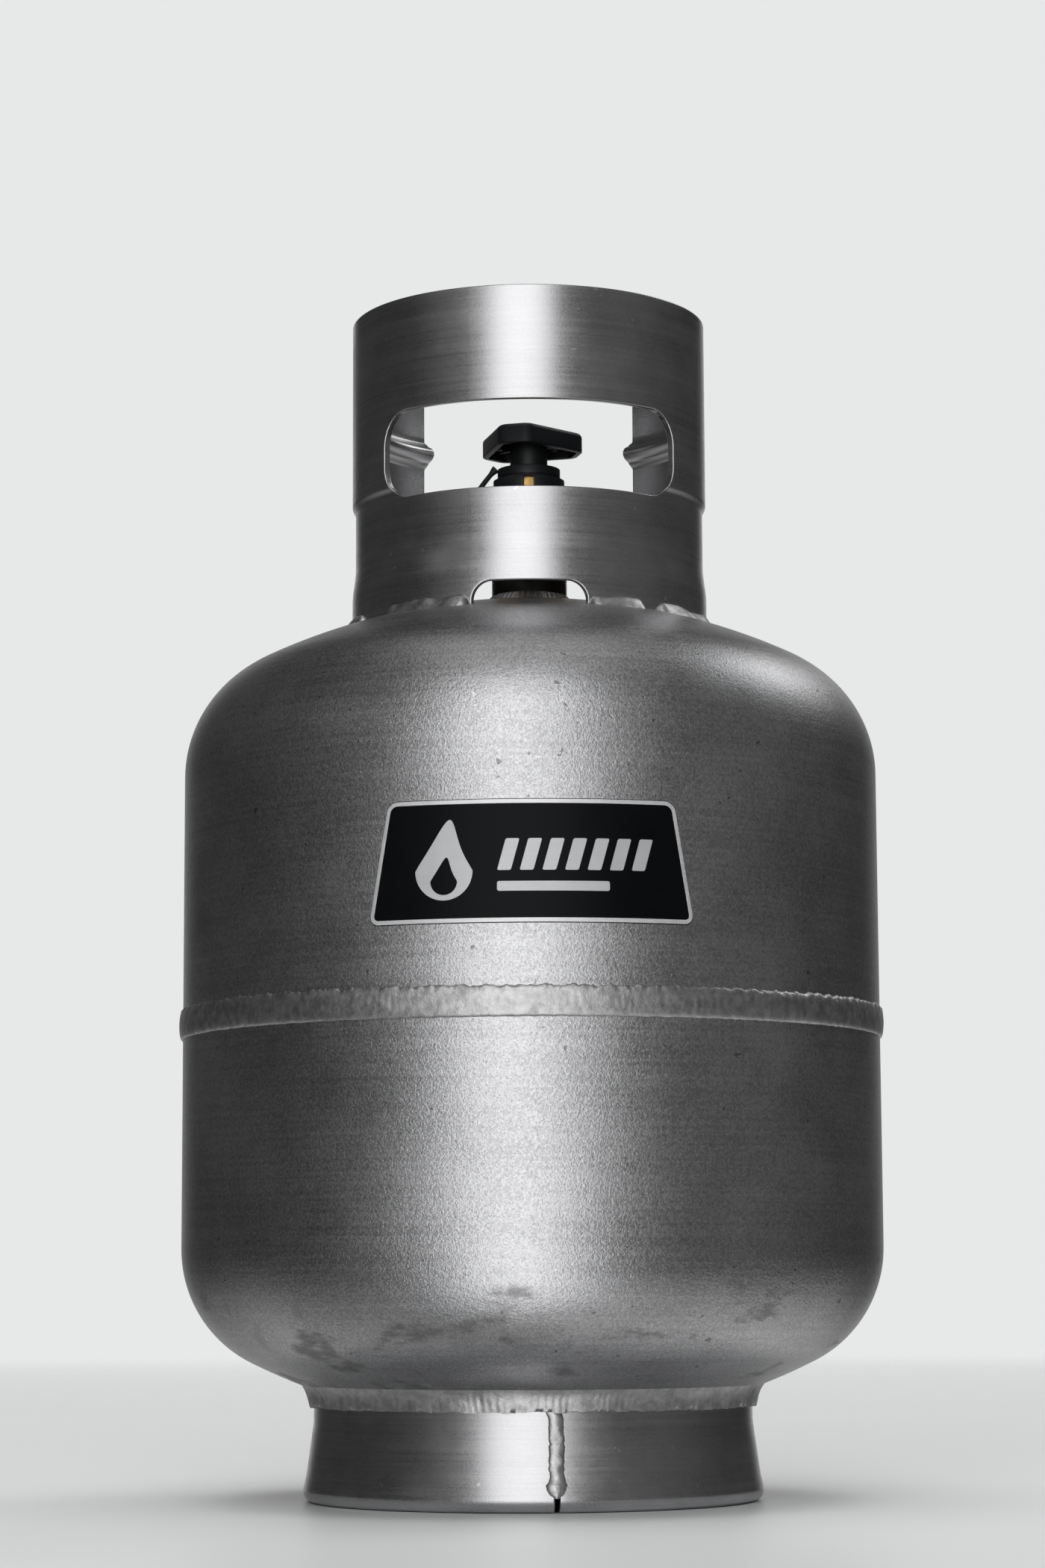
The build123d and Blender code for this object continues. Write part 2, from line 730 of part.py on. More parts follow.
def make_float_pin():
    return rod_x(pivot_pin_r, -housing_r + 0.6, housing_r - 0.6, pivot_z)


def cam_centre():
    turn = math.radians(cam_rest_deg)
    return cam_offset * math.sin(turn), pivot_z + cam_offset * math.cos(turn)


def make_float_arm():
    y, z = cam_centre()
    low = pivot_z - arm_down
    arm = rod_x(cam_r, -arm_w / 2, arm_w / 2, z, y)
    arm += Pos(0, 0, low) * Box(arm_t, arm_w, arm_down - 3, align=DOWN)
    arm += rod(stud_r, low - stud_l, low + 1)
    return arm - rod_x(pivot_pin_r + run_fit, -arm_w, arm_w, pivot_z)


def make_float():
    top = pivot_z - arm_down
    drum = rod(float_r, top - float_l, top)
    drum = fillet(drum.edges(), 1.5)
    return drum - rod(stud_r, top - stud_l, top + 1)


def make_stop_piston():
    foot = cam_centre()[1] + cam_r + piston_fit
    return rod(guide_r - piston_fit, foot, guide_top - stop_lift - 0.1)


# ---------------------------------------------------------------- dust plug and tether

def make_dust_plug():
    face = outlet_face + plug_gap
    back = face + flange_t
    flange = rod_y(flange_r, face, back, outlet_z)
    flange = fillet(flange.edges().group_by(Axis.Y)[-1], 1.2)
    nose = rod_y(nose_r, outlet_face - nose_l, face + 0.5, outlet_z)
    nose -= rod_y(nose_r - nose_wall, outlet_face - nose_l - 1, face, outlet_z)
    out = (Align.CENTER, Align.MIN, Align.CENTER)
    pull = Pos(0, back - 1, outlet_z) * Box(pull_w, pull_l + 1, pull_h, align=out)
    pull -= Pos(0, back, outlet_z) * Box(pull_w - 2 * pull_t, pull_l + 2, pull_h - 2 * pull_t, align=out)
    return flange + nose + pull


def tether_points():
    """The strap's route from the shroud's left side, out, down and round to the plug's back."""
    start = (-shroud_r - tether_t, 1.0, column_top + shroud_h + 1.0)
    end = (-pull_w / 2 - 0.1, outlet_face + plug_gap + flange_t + pull_l - tether_t, outlet_z)
    first = [tuple(a + b for a, b in zip(start, step)) for step in tether_from_shroud]
    last = [tuple(a + b for a, b in zip(end, step)) for step in tether_to_plug]
    return [start] + first + last + [end]


def make_plug_tether():
    path = FilletPolyline(*tether_points(), radius=tether_corner_r)
    section = Plane(origin=path @ 0, z_dir=path % 0) * RectangleRounded(tether_w, tether_t, 1.0)
    return sweep(section, path)


NODES = {
    "upper_shell": make_upper_shell,
    "lower_shell": make_lower_shell,
    "girth_weld": make_girth_weld,
    "valve_spud": make_valve_spud,
    "spud_weld": make_spud_weld,
    "collar": make_collar,
    "collar_welds": make_collar_welds,
    "foot_ring": make_foot_ring,
    "foot_ring_weld": make_foot_ring_weld,
    "foot_seam_weld": make_foot_seam_weld,
    "nameplate": make_nameplate,
    "valve_body": make_valve_body,
    "bonnet": make_bonnet,
    "stem_seals": make_stem_seals,
    "bonnet_shroud": make_bonnet_shroud,
    "spindle": make_spindle,
    "seat_plug": make_seat_plug,
    "seat_disc": make_seat_disc,
    "handwheel": make_handwheel,
    "handwheel_washer": make_handwheel_washer,
    "handwheel_screw": make_handwheel_screw,
    "outlet_seat_ring": make_outlet_seat_ring,
    "outlet_seal": make_outlet_seal,
    "outlet_poppet": make_outlet_poppet,
    "outlet_spring": make_outlet_spring,
    "relief_seal": make_relief_seal,
    "relief_poppet": make_relief_poppet,
    "relief_spring": make_relief_spring,
    "relief_nut": make_relief_nut,
    "relief_cap": make_relief_cap,
    "bleed_screw": make_bleed_screw,
    "level_tube": make_level_tube,
    "stop_housing": make_stop_housing,
    "stop_piston": make_stop_piston,
    "float_pin": make_float_pin,
    "float_arm": make_float_arm,
    "overfill_float": make_float,
    "dust_plug": make_dust_plug,
    "plug_tether": make_plug_tether,
}

for name, make in NODES.items():
    export_step(make(), f"parts/{name}.step")
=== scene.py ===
"""Portable propane cylinder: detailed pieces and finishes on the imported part.

It is laid out as an add-on and is run as a script. Lengths in the outlines are millimetres; +Z is up,
-Y is the front with the nameplate, and +Y is the way the outlet faces.
"""

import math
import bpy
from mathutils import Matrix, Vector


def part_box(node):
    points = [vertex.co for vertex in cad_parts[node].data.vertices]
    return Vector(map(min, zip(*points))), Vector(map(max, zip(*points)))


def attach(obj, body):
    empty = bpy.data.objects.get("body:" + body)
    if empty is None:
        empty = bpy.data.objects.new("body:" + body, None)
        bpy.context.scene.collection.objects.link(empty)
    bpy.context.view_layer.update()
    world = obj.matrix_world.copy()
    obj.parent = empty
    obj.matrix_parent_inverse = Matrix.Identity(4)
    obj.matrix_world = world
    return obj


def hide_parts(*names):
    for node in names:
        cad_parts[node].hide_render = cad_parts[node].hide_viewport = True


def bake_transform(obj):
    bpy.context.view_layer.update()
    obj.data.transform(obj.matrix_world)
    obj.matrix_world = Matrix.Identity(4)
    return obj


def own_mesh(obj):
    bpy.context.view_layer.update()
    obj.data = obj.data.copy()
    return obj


bl_info = {
    "name": "Propane cylinder",
    "version": (1, 0, 0),
    "blender": (4, 5, 0),
    "location": "View3D > Sidebar > Cylinder",
    "description": "Builds the detailed pieces and finishes of a portable propane cylinder",
    "category": "Object",
}

import bmesh
import bpy
from bpy.props import FloatProperty, FloatVectorProperty, IntProperty, PointerProperty
from mathutils import Matrix, Vector, noise

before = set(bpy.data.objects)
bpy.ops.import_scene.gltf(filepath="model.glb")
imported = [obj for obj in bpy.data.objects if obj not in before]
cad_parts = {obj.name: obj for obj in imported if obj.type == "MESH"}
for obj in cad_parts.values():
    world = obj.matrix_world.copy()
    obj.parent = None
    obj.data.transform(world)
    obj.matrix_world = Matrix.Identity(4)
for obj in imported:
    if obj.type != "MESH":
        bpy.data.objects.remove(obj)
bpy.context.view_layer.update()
MM = 0.001


def box_mm(node):
    """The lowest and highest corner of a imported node, in millimetres."""
    low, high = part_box(node)
    return low / MM, high / MM


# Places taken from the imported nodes
BODY_R = box_mm("lower_shell")[1].x
LOWEST = box_mm("lower_shell")[0].z
TANGENT_LOW = LOWEST + 78.816
TANGENT_HIGH = TANGENT_LOW + 209.0
APEX = TANGENT_HIGH + 78.816
GIRTH = sum(corner.z for corner in box_mm("girth_weld")) / 2
COLLAR_R = box_mm("collar")[1].x
RIM = box_mm("collar")[1].z
SPUD_TOP = box_mm("valve_spud")[1].z
OUTLET = sum(corner.z for corner in box_mm("outlet_poppet")) / 2
OUTLET_FACE = box_mm("valve_body")[1].y
SIDE_PORT = sum(corner.z for corner in box_mm("bleed_screw")) / 2
COLUMN_TOP = box_mm("bonnet_shroud")[0].z
SHROUD_TOP = box_mm("bonnet_shroud")[1].z
HUB_LOW = box_mm("handwheel")[0].z
WHEEL_TOP = box_mm("handwheel")[1].z
BONNET_TOP = box_mm("bonnet")[1].z
PLATE_LOW, PLATE_HIGH = box_mm("nameplate")[0].z, box_mm("nameplate")[1].z


class CylinderSizes(bpy.types.PropertyGroup):
    """Sizes that only the detailed pieces use."""

    sheet_edge: FloatProperty(
        name="Sheet edge", description="Rounding of the collar's cut edges", default=0.6 * MM, min=0.1 * MM,
        max=1.2 * MM, unit="LENGTH", subtype="DISTANCE", precision=5)
    thread_pitch: FloatProperty(
        name="Outlet thread pitch", description="Pitch of the outlet's thread", default=5.08 * MM, min=2 * MM,
        max=8 * MM, unit="LENGTH", subtype="DISTANCE", precision=5)
    plate_border: FloatProperty(
        name="Plate border", description="Width of the nameplate's bare edge", default=1.4 * MM, min=0.5 * MM,
        max=4 * MM, unit="LENGTH", subtype="DISTANCE", precision=5)
    plug_grips: IntProperty(
        name="Plug grips", description="Number of grip flutes round the dust plug", default=28, min=8, max=48)
    weld_waves: IntProperty(
        name="Girth weld waves", description="Number of puddle marks round the girth weld", default=300,
        min=100, max=500)


class CylinderFinish(bpy.types.PropertyGroup):
    """Colours and gloss that a user would change."""

    skin: FloatVectorProperty(
        name="Skin", description="Colour of the blasted aluminium", default=(0.50, 0.50, 0.51), size=3, min=0,
        max=1, subtype="COLOR")
    weld: FloatVectorProperty(
        name="Weld", description="Colour of the weld metal", default=(0.55, 0.55, 0.55), size=3, min=0, max=1,
        subtype="COLOR")
    plate: FloatVectorProperty(
        name="Plate field", description="Colour of the nameplate's printed field", default=(0.003, 0.0036, 0.0045),
        size=3, min=0, max=1, subtype="COLOR")
    moulding: FloatVectorProperty(
        name="Mouldings", description="Colour of the handwheel, shroud and dust plug",
        default=(0.011, 0.013, 0.015), size=3, min=0, max=1, subtype="COLOR")
    brass: FloatVectorProperty(
        name="Brass", description="Colour of the valve's brass", default=(0.62, 0.39, 0.15), size=3, min=0,
        max=1, subtype="COLOR")
    skin_roughness: FloatProperty(
        name="Skin roughness", description="Roughness of the blasted aluminium", default=0.36, min=0.1, max=0.8,
        subtype="FACTOR")


class StudioSettings(bpy.types.PropertyGroup):
    """The light, the floor and the lens."""

    key: FloatProperty(
        name="Front light", description="Strength of the tall soft light in front", default=1.95, min=0, max=10)
    fill: FloatProperty(
        name="Room", description="Strength of the dim room", default=0.05, min=0, max=2)
    top: FloatProperty(
        name="Top light", description="Strength of the wide light overhead", default=4.6, min=0, max=10)
    floor: FloatVectorProperty(
        name="Floor", description="Colour of the floor", default=(0.80, 0.81, 0.81), size=3, min=0, max=1,
        subtype="COLOR")
    lens: FloatProperty(
        name="Lens", description="Focal length of the camera, in millimetres", default=84.9, min=10, max=300)


def sizes():
    return bpy.context.scene.cylinder_sizes


def colours():
    return bpy.context.scene.cylinder_finish


# ------------------------------------------------------------------ shader maths

class Value:
    """One output of a shader node. An expression on values adds its Math nodes."""

    def __init__(self, tree, socket):
        self.tree = tree
        self.socket = socket

    def math(self, operation, *others):
        return self.tree.node("ShaderNodeMath", {"operation": operation}, dict(enumerate((self, *others))))

    def __add__(self, other):
        return self.math("ADD", other)

    def __sub__(self, other):
        return self.math("SUBTRACT", other)

    def __mul__(self, other):
        return self.math("MULTIPLY", other)

    def __rsub__(self, other):
        return self.tree.node("ShaderNodeMath", {"operation": "SUBTRACT"}, {0: other, 1: self})

    __radd__ = __add__
    __rmul__ = __mul__

    def __abs__(self):
        return self.math("ABSOLUTE")


class Nodes:
    """A node tree being built."""

    def __init__(self, tree):
        self.tree = tree
        tree.nodes.clear()

    def node(self, kind, settings=None, sockets=None, output=0):
        """Adds a node, sets its settings and then its sockets, and gives one of its outputs."""
        made = self.tree.nodes.new(kind)
        for name, value in (settings or {}).items():
            if name == "stops":
                ramp = made.color_ramp
                while len(ramp.elements) < len(value):
                    ramp.elements.new(0.5)
                for element, (place, shade) in zip(ramp.elements, value):
                    element.position = place
                    element.color = (shade, shade, shade, 1)
            else:
                setattr(made, name, value)
        for name, value in (sockets or {}).items():
            if isinstance(value, Value):
                self.tree.links.new(value.socket, made.inputs[name])
            elif isinstance(value, tuple) and made.inputs[name].type == "RGBA" and len(value) == 3:
                made.inputs[name].default_value = (*value, 1)
            else:
                made.inputs[name].default_value = value
        return Value(self, made.outputs[output])

    def place(self):
        return self.node("ShaderNodeTexCoord", output="Object")

    def scaled(self, place, scale):
        return self.node("ShaderNodeMapping", {"vector_type": "POINT"}, {"Vector": place, "Scale": scale})

    def clouds(self, place, scale, detail=2.0, rough=0.5):
        return self.node("ShaderNodeTexNoise", {"noise_dimensions": "3D"},
                         {"Vector": place, "Scale": scale, "Detail": detail, "Roughness": rough})

    def band(self, value, low, high):
        """0 below low, 1 above high and a smooth step between; low may be the larger."""
        return self.node("ShaderNodeMapRange", {"interpolation_type": "SMOOTHSTEP", "clamp": True},
                         {"Value": value, "From Min": low, "From Max": high, "To Min": 0.0, "To Max": 1.0})

    def blend(self, share, first, second):
        """Mixes two colours."""
        return self.node("ShaderNodeMix", {"data_type": "RGBA", "blend_type": "MIX"},
                         {0: share, 6: first, 7: second}, output=2)

    def axes(self, vector):
        """The three parts of a vector."""
        made = self.node("ShaderNodeSeparateXYZ", sockets={"Vector": vector})
        return [Value(self, made.socket.node.outputs[k]) for k in range(3)]


class Finish(Nodes):
    """A material with one principled surface."""

    def __init__(self, name):
        self.material = bpy.data.materials.new(name)
        self.material.use_nodes = True
        super().__init__(self.material.node_tree)

    def surface(self, bump=None, strength=0.2, depth=0.2 * MM, **sockets):
        """Ends the material; names of sockets are written with underscores."""
        links = {name.replace("_", " "): value for name, value in sockets.items()}
        if bump is not None:
            links["Normal"] = self.node(
                "ShaderNodeBump", sockets={"Strength": strength, "Distance": depth, "Height": bump})
        shader = self.node("ShaderNodeBsdfPrincipled", sockets=links, output="BSDF")
        self.node_end(shader)
        return self.material

    def node_end(self, shader):
        end = self.tree.nodes.new("ShaderNodeOutputMaterial")
        self.tree.links.new(shader.socket, end.inputs["Surface"])


def shade(colour, factor):
    return tuple(min(1.0, c * factor) for c in colour)


def blasted_aluminium():
    """Drawn heads: fine blasted grain, faint marks of turning, cloudy tone, nicks and smudges."""
    f = Finish("Blasted aluminium")
    place = f.place()
    grain = f.clouds(place, 1500, 2, 0.6)
    speckle = f.clouds(place, 720, 2, 0.7)
    cloud = f.clouds(place, 22, 5, 0.6)
    patch = f.clouds(f.scaled(place, (1, 1, 2.4)), 7, 3, 0.5)
    turning = f.clouds(f.scaled(place, (9, 9, 620)), 1, 3, 0.55)
    wipe = f.clouds(f.scaled(place, (30, 30, 130)), 1, 4, 0.6)
    nick = f.band(f.clouds(place, 150, 2, 0.45), 0.752, 0.772)
    pit = f.band(f.clouds(place, 190, 2, 0.45), 0.262, 0.245)
    height = f.axes(place)[2]
    low_zone = f.band(height, 0.125, 0.075)
    smudge = f.band(f.clouds(f.scaled(place, (20, 20, 52)), 1, 4, 0.65), 0.57, 0.68) * low_zone
    streak = f.band(f.clouds(f.scaled(place, (75, 75, 9)), 1, 4, 0.6), 0.60, 0.74) * low_zone
    scuff = f.band(wipe, 0.62, 0.78)
    tone = (0.5 + (cloud - 0.5) * 1.0 + (turning - 0.5) * 0.6 + (speckle - 0.5) * 1.5 + (grain - 0.5) * 1.9
            + (patch - 0.5) * 0.6)
    skin = tuple(colours().skin)
    base = f.blend(f.band(tone, -0.1, 1.1), shade(skin, 0.72), shade(skin, 1.30))
    base = f.blend(smudge * 0.62 + streak * 0.30, base, shade(skin, 0.40))
    base = f.blend(nick * 0.45, base, shade(skin, 1.5))
    base = f.blend(pit * 0.7, base, shade(skin, 0.3))
    rough = (colours().skin_roughness + (cloud - 0.5) * 0.12 + (patch - 0.5) * 0.10 + (turning - 0.5) * 0.08
             + (speckle - 0.5) * 0.14 + scuff * 0.05 + smudge * 0.14 - nick * 0.08)
    relief = grain * 0.9 + speckle * 1.1 + cloud * 0.6 + turning * 0.22 - nick * 0.3 + pit * 0.4
    return f.surface(bump=relief, strength=0.6, depth=0.2 * MM, Base_Color=base, Metallic=1.0, Roughness=rough)


def rolled_aluminium():
    """Collar and foot ring: smooth rolled sheet with brush lines around it, drag marks and bright nicks."""
    f = Finish("Rolled aluminium")
    place = f.place()
    fine = f.clouds(f.scaled(place, (34, 34, 2600)), 1, 2, 0.6)
    brush = f.clouds(f.scaled(place, (11, 11, 700)), 1, 4, 0.62)
    drag = f.clouds(f.scaled(place, (5, 5, 130)), 1, 4, 0.6)
    cloud = f.clouds(place, 30, 5, 0.62)
    grain = f.clouds(place, 1300, 2, 0.6)
    nick = f.band(f.clouds(place, 210, 2, 0.4), 0.745, 0.765)
    skin = tuple(colours().skin)
    tone = (0.5 + (brush - 0.5) * 0.8 + (drag - 0.5) * 0.7 + (cloud - 0.5) * 1.3 + (fine - 0.5) * 0.4
            + (grain - 0.5) * 0.9)
    base = f.blend(tone, shade(skin, 0.80), shade(skin, 1.22))
    base = f.blend(nick * 0.7, base, shade(skin, 1.6))
    rough = 0.30 + (brush - 0.5) * 0.12 + (cloud - 0.5) * 0.16 + (drag - 0.5) * 0.10 + (grain - 0.5) * 0.12
    relief = fine * 0.25 + brush * 0.25 + cloud * 1.2 + grain * 0.6
    return f.surface(bump=relief, strength=0.30, depth=0.12 * MM, Base_Color=base, Metallic=1.0, Roughness=rough)


def weld_metal():
    """Weld beads: bright frozen metal with a grainy skin and scattered patches of dull soot."""
    f = Finish("Weld metal")
    place = f.place()
    grain = f.clouds(place, 1500, 3, 0.65)
    lump = f.clouds(place, 260, 4, 0.6)
    soot = f.band(f.clouds(place, 90, 4, 0.6), 0.52, 0.70)
    weld = tuple(colours().weld)
    base = f.blend(f.band(lump, 0.30, 0.70), shade(weld, 0.78), shade(weld, 1.16))
    base = f.blend(soot * 0.35, base, shade(weld, 0.5))
    rough = 0.42 + (grain - 0.5) * 0.16 + (lump - 0.5) * 0.18 + soot * 0.10
    return f.surface(bump=grain * 0.5 + lump, strength=0.5, depth=0.35 * MM, Base_Color=base, Metallic=1.0,
                     Roughness=rough)


def machined(name, colour, rough=0.24, lines=2400):
    """Lathe-cut metal: rings of fine tool marks, a little handling haze."""
    f = Finish(name)
    place = f.place()
    cut = f.clouds(f.scaled(place, (30, 30, lines)), 1, 2, 0.55)
    haze = f.clouds(place, 120, 4, 0.6)
    grain = f.clouds(place, 1800, 2, 0.5)
    tone = 0.5 + (haze - 0.5) * 1.1 + (cut - 0.5) * 0.6
    base = f.blend(tone, shade(colour, 0.74), shade(colour, 1.12))
    return f.surface(bump=cut * 0.6 + grain * 0.4, strength=0.25, depth=0.08 * MM, Base_Color=base,
                     Metallic=1.0, Roughness=rough + (haze - 0.5) * 0.16 + (cut - 0.5) * 0.08)


def forged(name, colour, rough=0.36):
    """Hot-forged metal: grainy, with patches of tarnish and brighter untarnished metal between them."""
    f = Finish(name)
    place = f.place()
    grain = f.clouds(place, 900, 3, 0.6)
    pits = f.clouds(place, 340, 4, 0.6)
    tarnish = f.band(f.clouds(place, 70, 5, 0.62), 0.42, 0.68)
    base = f.blend(tarnish, shade(colour, 1.05), shade(colour, 0.62))
    return f.surface(bump=grain * 0.6 + pits, strength=0.35, depth=0.2 * MM, Base_Color=base, Metallic=1.0,
                     Roughness=rough + tarnish * 0.12 + (pits - 0.5) * 0.14)


def moulded(name, colour, rough=0.46, sheen_scale=700.0):
    """Moulded plastic: a fine spark-eroded texture with scuffs and dust."""
    f = Finish(name)
    place = f.place()
    texture = f.clouds(place, sheen_scale * 2.4, 2, 0.6)
    orange = f.clouds(place, sheen_scale * 0.5, 3, 0.5)
    rub = f.band(f.clouds(f.scaled(place, (180, 180, 420)), 1, 4, 0.65), 0.60, 0.78)
    dust = f.clouds(place, 60, 5, 0.65)
    base = f.blend(rub * 0.5 + (dust - 0.5) * 0.35, colour, shade(colour, 2.4))
    return f.surface(bump=texture * 0.6 + orange * 0.6, strength=0.3, depth=0.12 * MM, Base_Color=base,
                     Roughness=rough + (dust - 0.5) * 0.18 + rub * 0.10, Specular_IOR_Level=0.5)


def satin(name, colour, rough):
    """Bare satin metal under a clear print: part mirror, part soft, with faint brushing."""
    f = Finish(name)
    place = f.place()
    cut = f.clouds(f.scaled(place, (40, 40, 2600)), 1, 2, 0.55)
    haze = f.clouds(place, 90, 4, 0.6)
    base = f.blend(0.5 + (haze - 0.5) * 0.9 + (cut - 0.5) * 0.5, shade(colour, 0.82), shade(colour, 1.12))
    return f.surface(bump=cut, strength=0.12, depth=0.05 * MM, Base_Color=base, Metallic=0.45,
                     Roughness=rough + (haze - 0.5) * 0.1)


def print_and_edge_shadow():
    """The nameplate's field: smooth black print with a faint satin cloud. The same black also paints a shadow line
    round the plate's edge.
    """
    f = Finish("Printed field and painted edge shadow")
    place = f.place()
    fine = f.clouds(place, 1500, 2, 0.5)
    cloud = f.clouds(place, 55, 4, 0.6)
    field = tuple(colours().plate)
    base = f.blend(cloud, shade(field, 0.7), shade(field, 1.5))
    return f.surface(bump=fine, strength=0.08, depth=0.05 * MM, Base_Color=base,
                     Roughness=0.34 + (cloud - 0.5) * 0.12, Specular_IOR_Level=0.08)


def rubber(name, colour):
    f = Finish(name)
    place = f.place()
    fine = f.clouds(place, 1400, 2, 0.6)
    bloom = f.clouds(place, 130, 4, 0.65)
    base = f.blend(bloom, shade(colour, 0.7), shade(colour, 1.7))
    return f.surface(bump=fine + bloom * 0.5, strength=0.25, depth=0.1 * MM, Base_Color=base,
                     Roughness=0.62 + (bloom - 0.5) * 0.2)


_finishes = {}
RECIPES = {
    "skin": blasted_aluminium,
    "sheet": rolled_aluminium,
    "weld": weld_metal,
    # The boss is machined aluminium; its near-black colour is painted shade from the collar around it.
    "spud": lambda: machined("Boss in painted shade", (0.075, 0.078, 0.082), 0.30),
    "plate_edge": lambda: satin("Plate edge", (0.80, 0.80, 0.81), 0.42),
    "plate_field_and_edge_shadow": print_and_edge_shadow,
    "plate_print": lambda: satin("Plate print", (0.62, 0.63, 0.64), 0.5),
    "brass": lambda: machined("Machined brass", tuple(colours().brass), 0.22),
    "forged_brass": lambda: forged("Forged brass", shade(tuple(colours().brass), 0.9)),
    "moulding": lambda: moulded("Black moulding", tuple(colours().moulding)),
    "float": lambda: moulded("Float plastic", (0.11, 0.11, 0.12), 0.5, 500),
    "nylon": lambda: moulded("White nylon", (0.74, 0.74, 0.70), 0.42, 500),
    "rubber": lambda: rubber("Black rubber", (0.022, 0.022, 0.023)),
    "steel": lambda: machined("Zinc-plated steel", (0.60, 0.61, 0.63), 0.28, 1800),
    "wire": lambda: forged("Spring wire", (0.52, 0.52, 0.54), 0.25),
}


def finish(name):
    """One of the finishes, made when it is first asked for."""
    if name not in _finishes:
        _finishes[name] = RECIPES[name]()
    return _finishes[name]


# ------------------------------------------------------------------ modelling helpers

def tidy(part):
    bmesh.ops.remove_doubles(part, verts=part.verts, dist=2e-6)
    bmesh.ops.dissolve_degenerate(part, edges=part.edges, dist=1e-6)
    bmesh.ops.recalc_face_normals(part, faces=part.faces)


def soften(part, edge, segments=3, sharper_than=32.0):
    """Rounds every edge that is sharper than an angle; the width is in mm."""
    sharp = [e for e in part.edges if len(e.link_faces) == 2
             and e.calc_face_angle(0.0) > math.radians(sharper_than)]
    bmesh.ops.bevel(part, geom=sharp, offset=edge * MM, offset_type="OFFSET", segments=segments, profile=0.5,
                    affect="EDGES", clamp_overlap=True, material=-1)


def turned(outline, steps=128, edge=0.0, closed=True):
    """Turns an outline of (radius, height) points about the vertical axis."""
    part = bmesh.new()
    points = [part.verts.new((r * MM, 0, z * MM)) for r, z in outline]
    for a, b in zip(points, points[1:] + (points[:1] if closed else [])):
        part.edges.new((a, b))
    spin_round(part, steps)
    if edge:
        soften(part, edge)
    return part


def spin_round(part, steps):
    bmesh.ops.spin(part, geom=part.verts[:] + part.edges[:], cent=(0, 0, 0), axis=(0, 0, 1), dvec=(0, 0, 0),
                   angle=2 * math.pi, steps=steps, use_merge=True)
    tidy(part)


def coil(radius, wire, length, turns, steps=32, sides=10):
    """A round wire wound up the vertical axis from the origin."""
    part = bmesh.new()
    bmesh.ops.create_circle(part, cap_ends=True, segments=sides, radius=wire * MM)
    turn = Matrix.Translation((radius * MM, 0, wire * MM)) @ Matrix.Rotation(math.pi / 2, 4, "X")
    bmesh.ops.transform(part, matrix=turn, verts=part.verts)
    total = round(turns * steps)
    rise = (length - 2 * wire) * MM / total
    bmesh.ops.spin(part, geom=part.faces[:], cent=(0, 0, 0), axis=(0, 0, 1), dvec=(0, 0, rise),
                   angle=2 * math.pi * turns, steps=total, use_merge=False)
    tidy(part)
    return part


def join(piece, part, place=None):
    """Adds one closed shell to a piece."""
    tidy(part)
    if place is not None:
        bmesh.ops.transform(part, matrix=place, verts=part.verts)
    mesh = bpy.data.meshes.new("shell")
    part.to_mesh(mesh)
    part.free()
    piece.from_mesh(mesh)
    bpy.data.meshes.remove(mesh)
    return piece


def lying(direction, height):
    """Lays a part that was turned about the vertical axis along +Y, -Y or +X, at a height."""
    turn = {"+Y": Matrix.Rotation(-math.pi / 2, 4, "X"), "-Y": Matrix.Rotation(math.pi / 2, 4, "X"),
            "+X": Matrix.Rotation(math.pi / 2, 4, "Y")}[direction]
    return Matrix.Translation((0, 0, height * MM)) @ turn


def put(name, part, finishes, body, nodes, crease=38.0, weighted=False):
    """Makes the Blender object of a piece, hides the imported nodes it stands for and hangs it on the body it moves
    with.
    """
    mesh = bpy.data.meshes.new(name)
    part.to_mesh(mesh)
    part.free()
    for f in finishes:
        mesh.materials.append(finish(f))
    mesh.shade_smooth()
    mesh.set_sharp_from_angle(angle=math.radians(crease))
    piece = bpy.data.objects.new(name, mesh)
    bpy.context.scene.collection.objects.link(piece)
    if weighted:
        even = piece.modifiers.new("Even shading", "WEIGHTED_NORMAL")
        even.keep_sharp = True
    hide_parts(*nodes)
    if body:
        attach(piece, body)
    return piece


def rough(point, scale, seed=0.0):
    """Smooth noise from -1 to 1 at a point in mm; scale is the size of a lump in mm."""
    return noise.noise(Vector(point) / scale + Vector((seed, seed * 0.7, seed * 1.3)))


def ease(value, low, high):
    share = min(1.0, max(0.0, (value - low) / (high - low)))
    return share * share * (3 - 2 * share)


def reshape(part, change):
    """Moves every vertex; change takes the angle from the front, the radius and height in mm, and gives new ones."""
    for v in part.verts:
        x, y, z = v.co / MM
        turn, radius = math.atan2(x, -y), math.hypot(x, y)
        turn, radius, z = change(turn, radius, z, (x, y, z))
        v.co = Vector((radius * math.sin(turn), -radius * math.cos(turn), z)) * MM


def flat_sheet(half_width, low, high, columns, rows, extra_heights=()):
    """A flat grid in the XZ plane that faces -Y, cut again at some heights; sizes in mm."""
    part = bmesh.new()
    bmesh.ops.create_grid(part, x_segments=columns, y_segments=rows, size=0.5)
    size = Matrix.Diagonal((2 * half_width * MM, (high - low) * MM, 1, 1))
    up = Matrix.Translation((0, 0, (low + high) / 2 * MM)) @ Matrix.Rotation(math.pi / 2, 4, "X")
    bmesh.ops.transform(part, matrix=up @ size, verts=part.verts)
    for z in extra_heights:
        slice_through(part, (0, 0, z), (0, 0, 1))
    return part


def slice_through(part, point, normal, faces=None):
    chosen = part.faces[:] if faces is None else faces
    geom = list({x for f in chosen for x in (f, *f.edges, *f.verts)})
    return bmesh.ops.bisect_plane(part, geom=geom, dist=1e-7, plane_co=Vector(point) * MM,
                                  plane_no=Vector(normal).normalized())


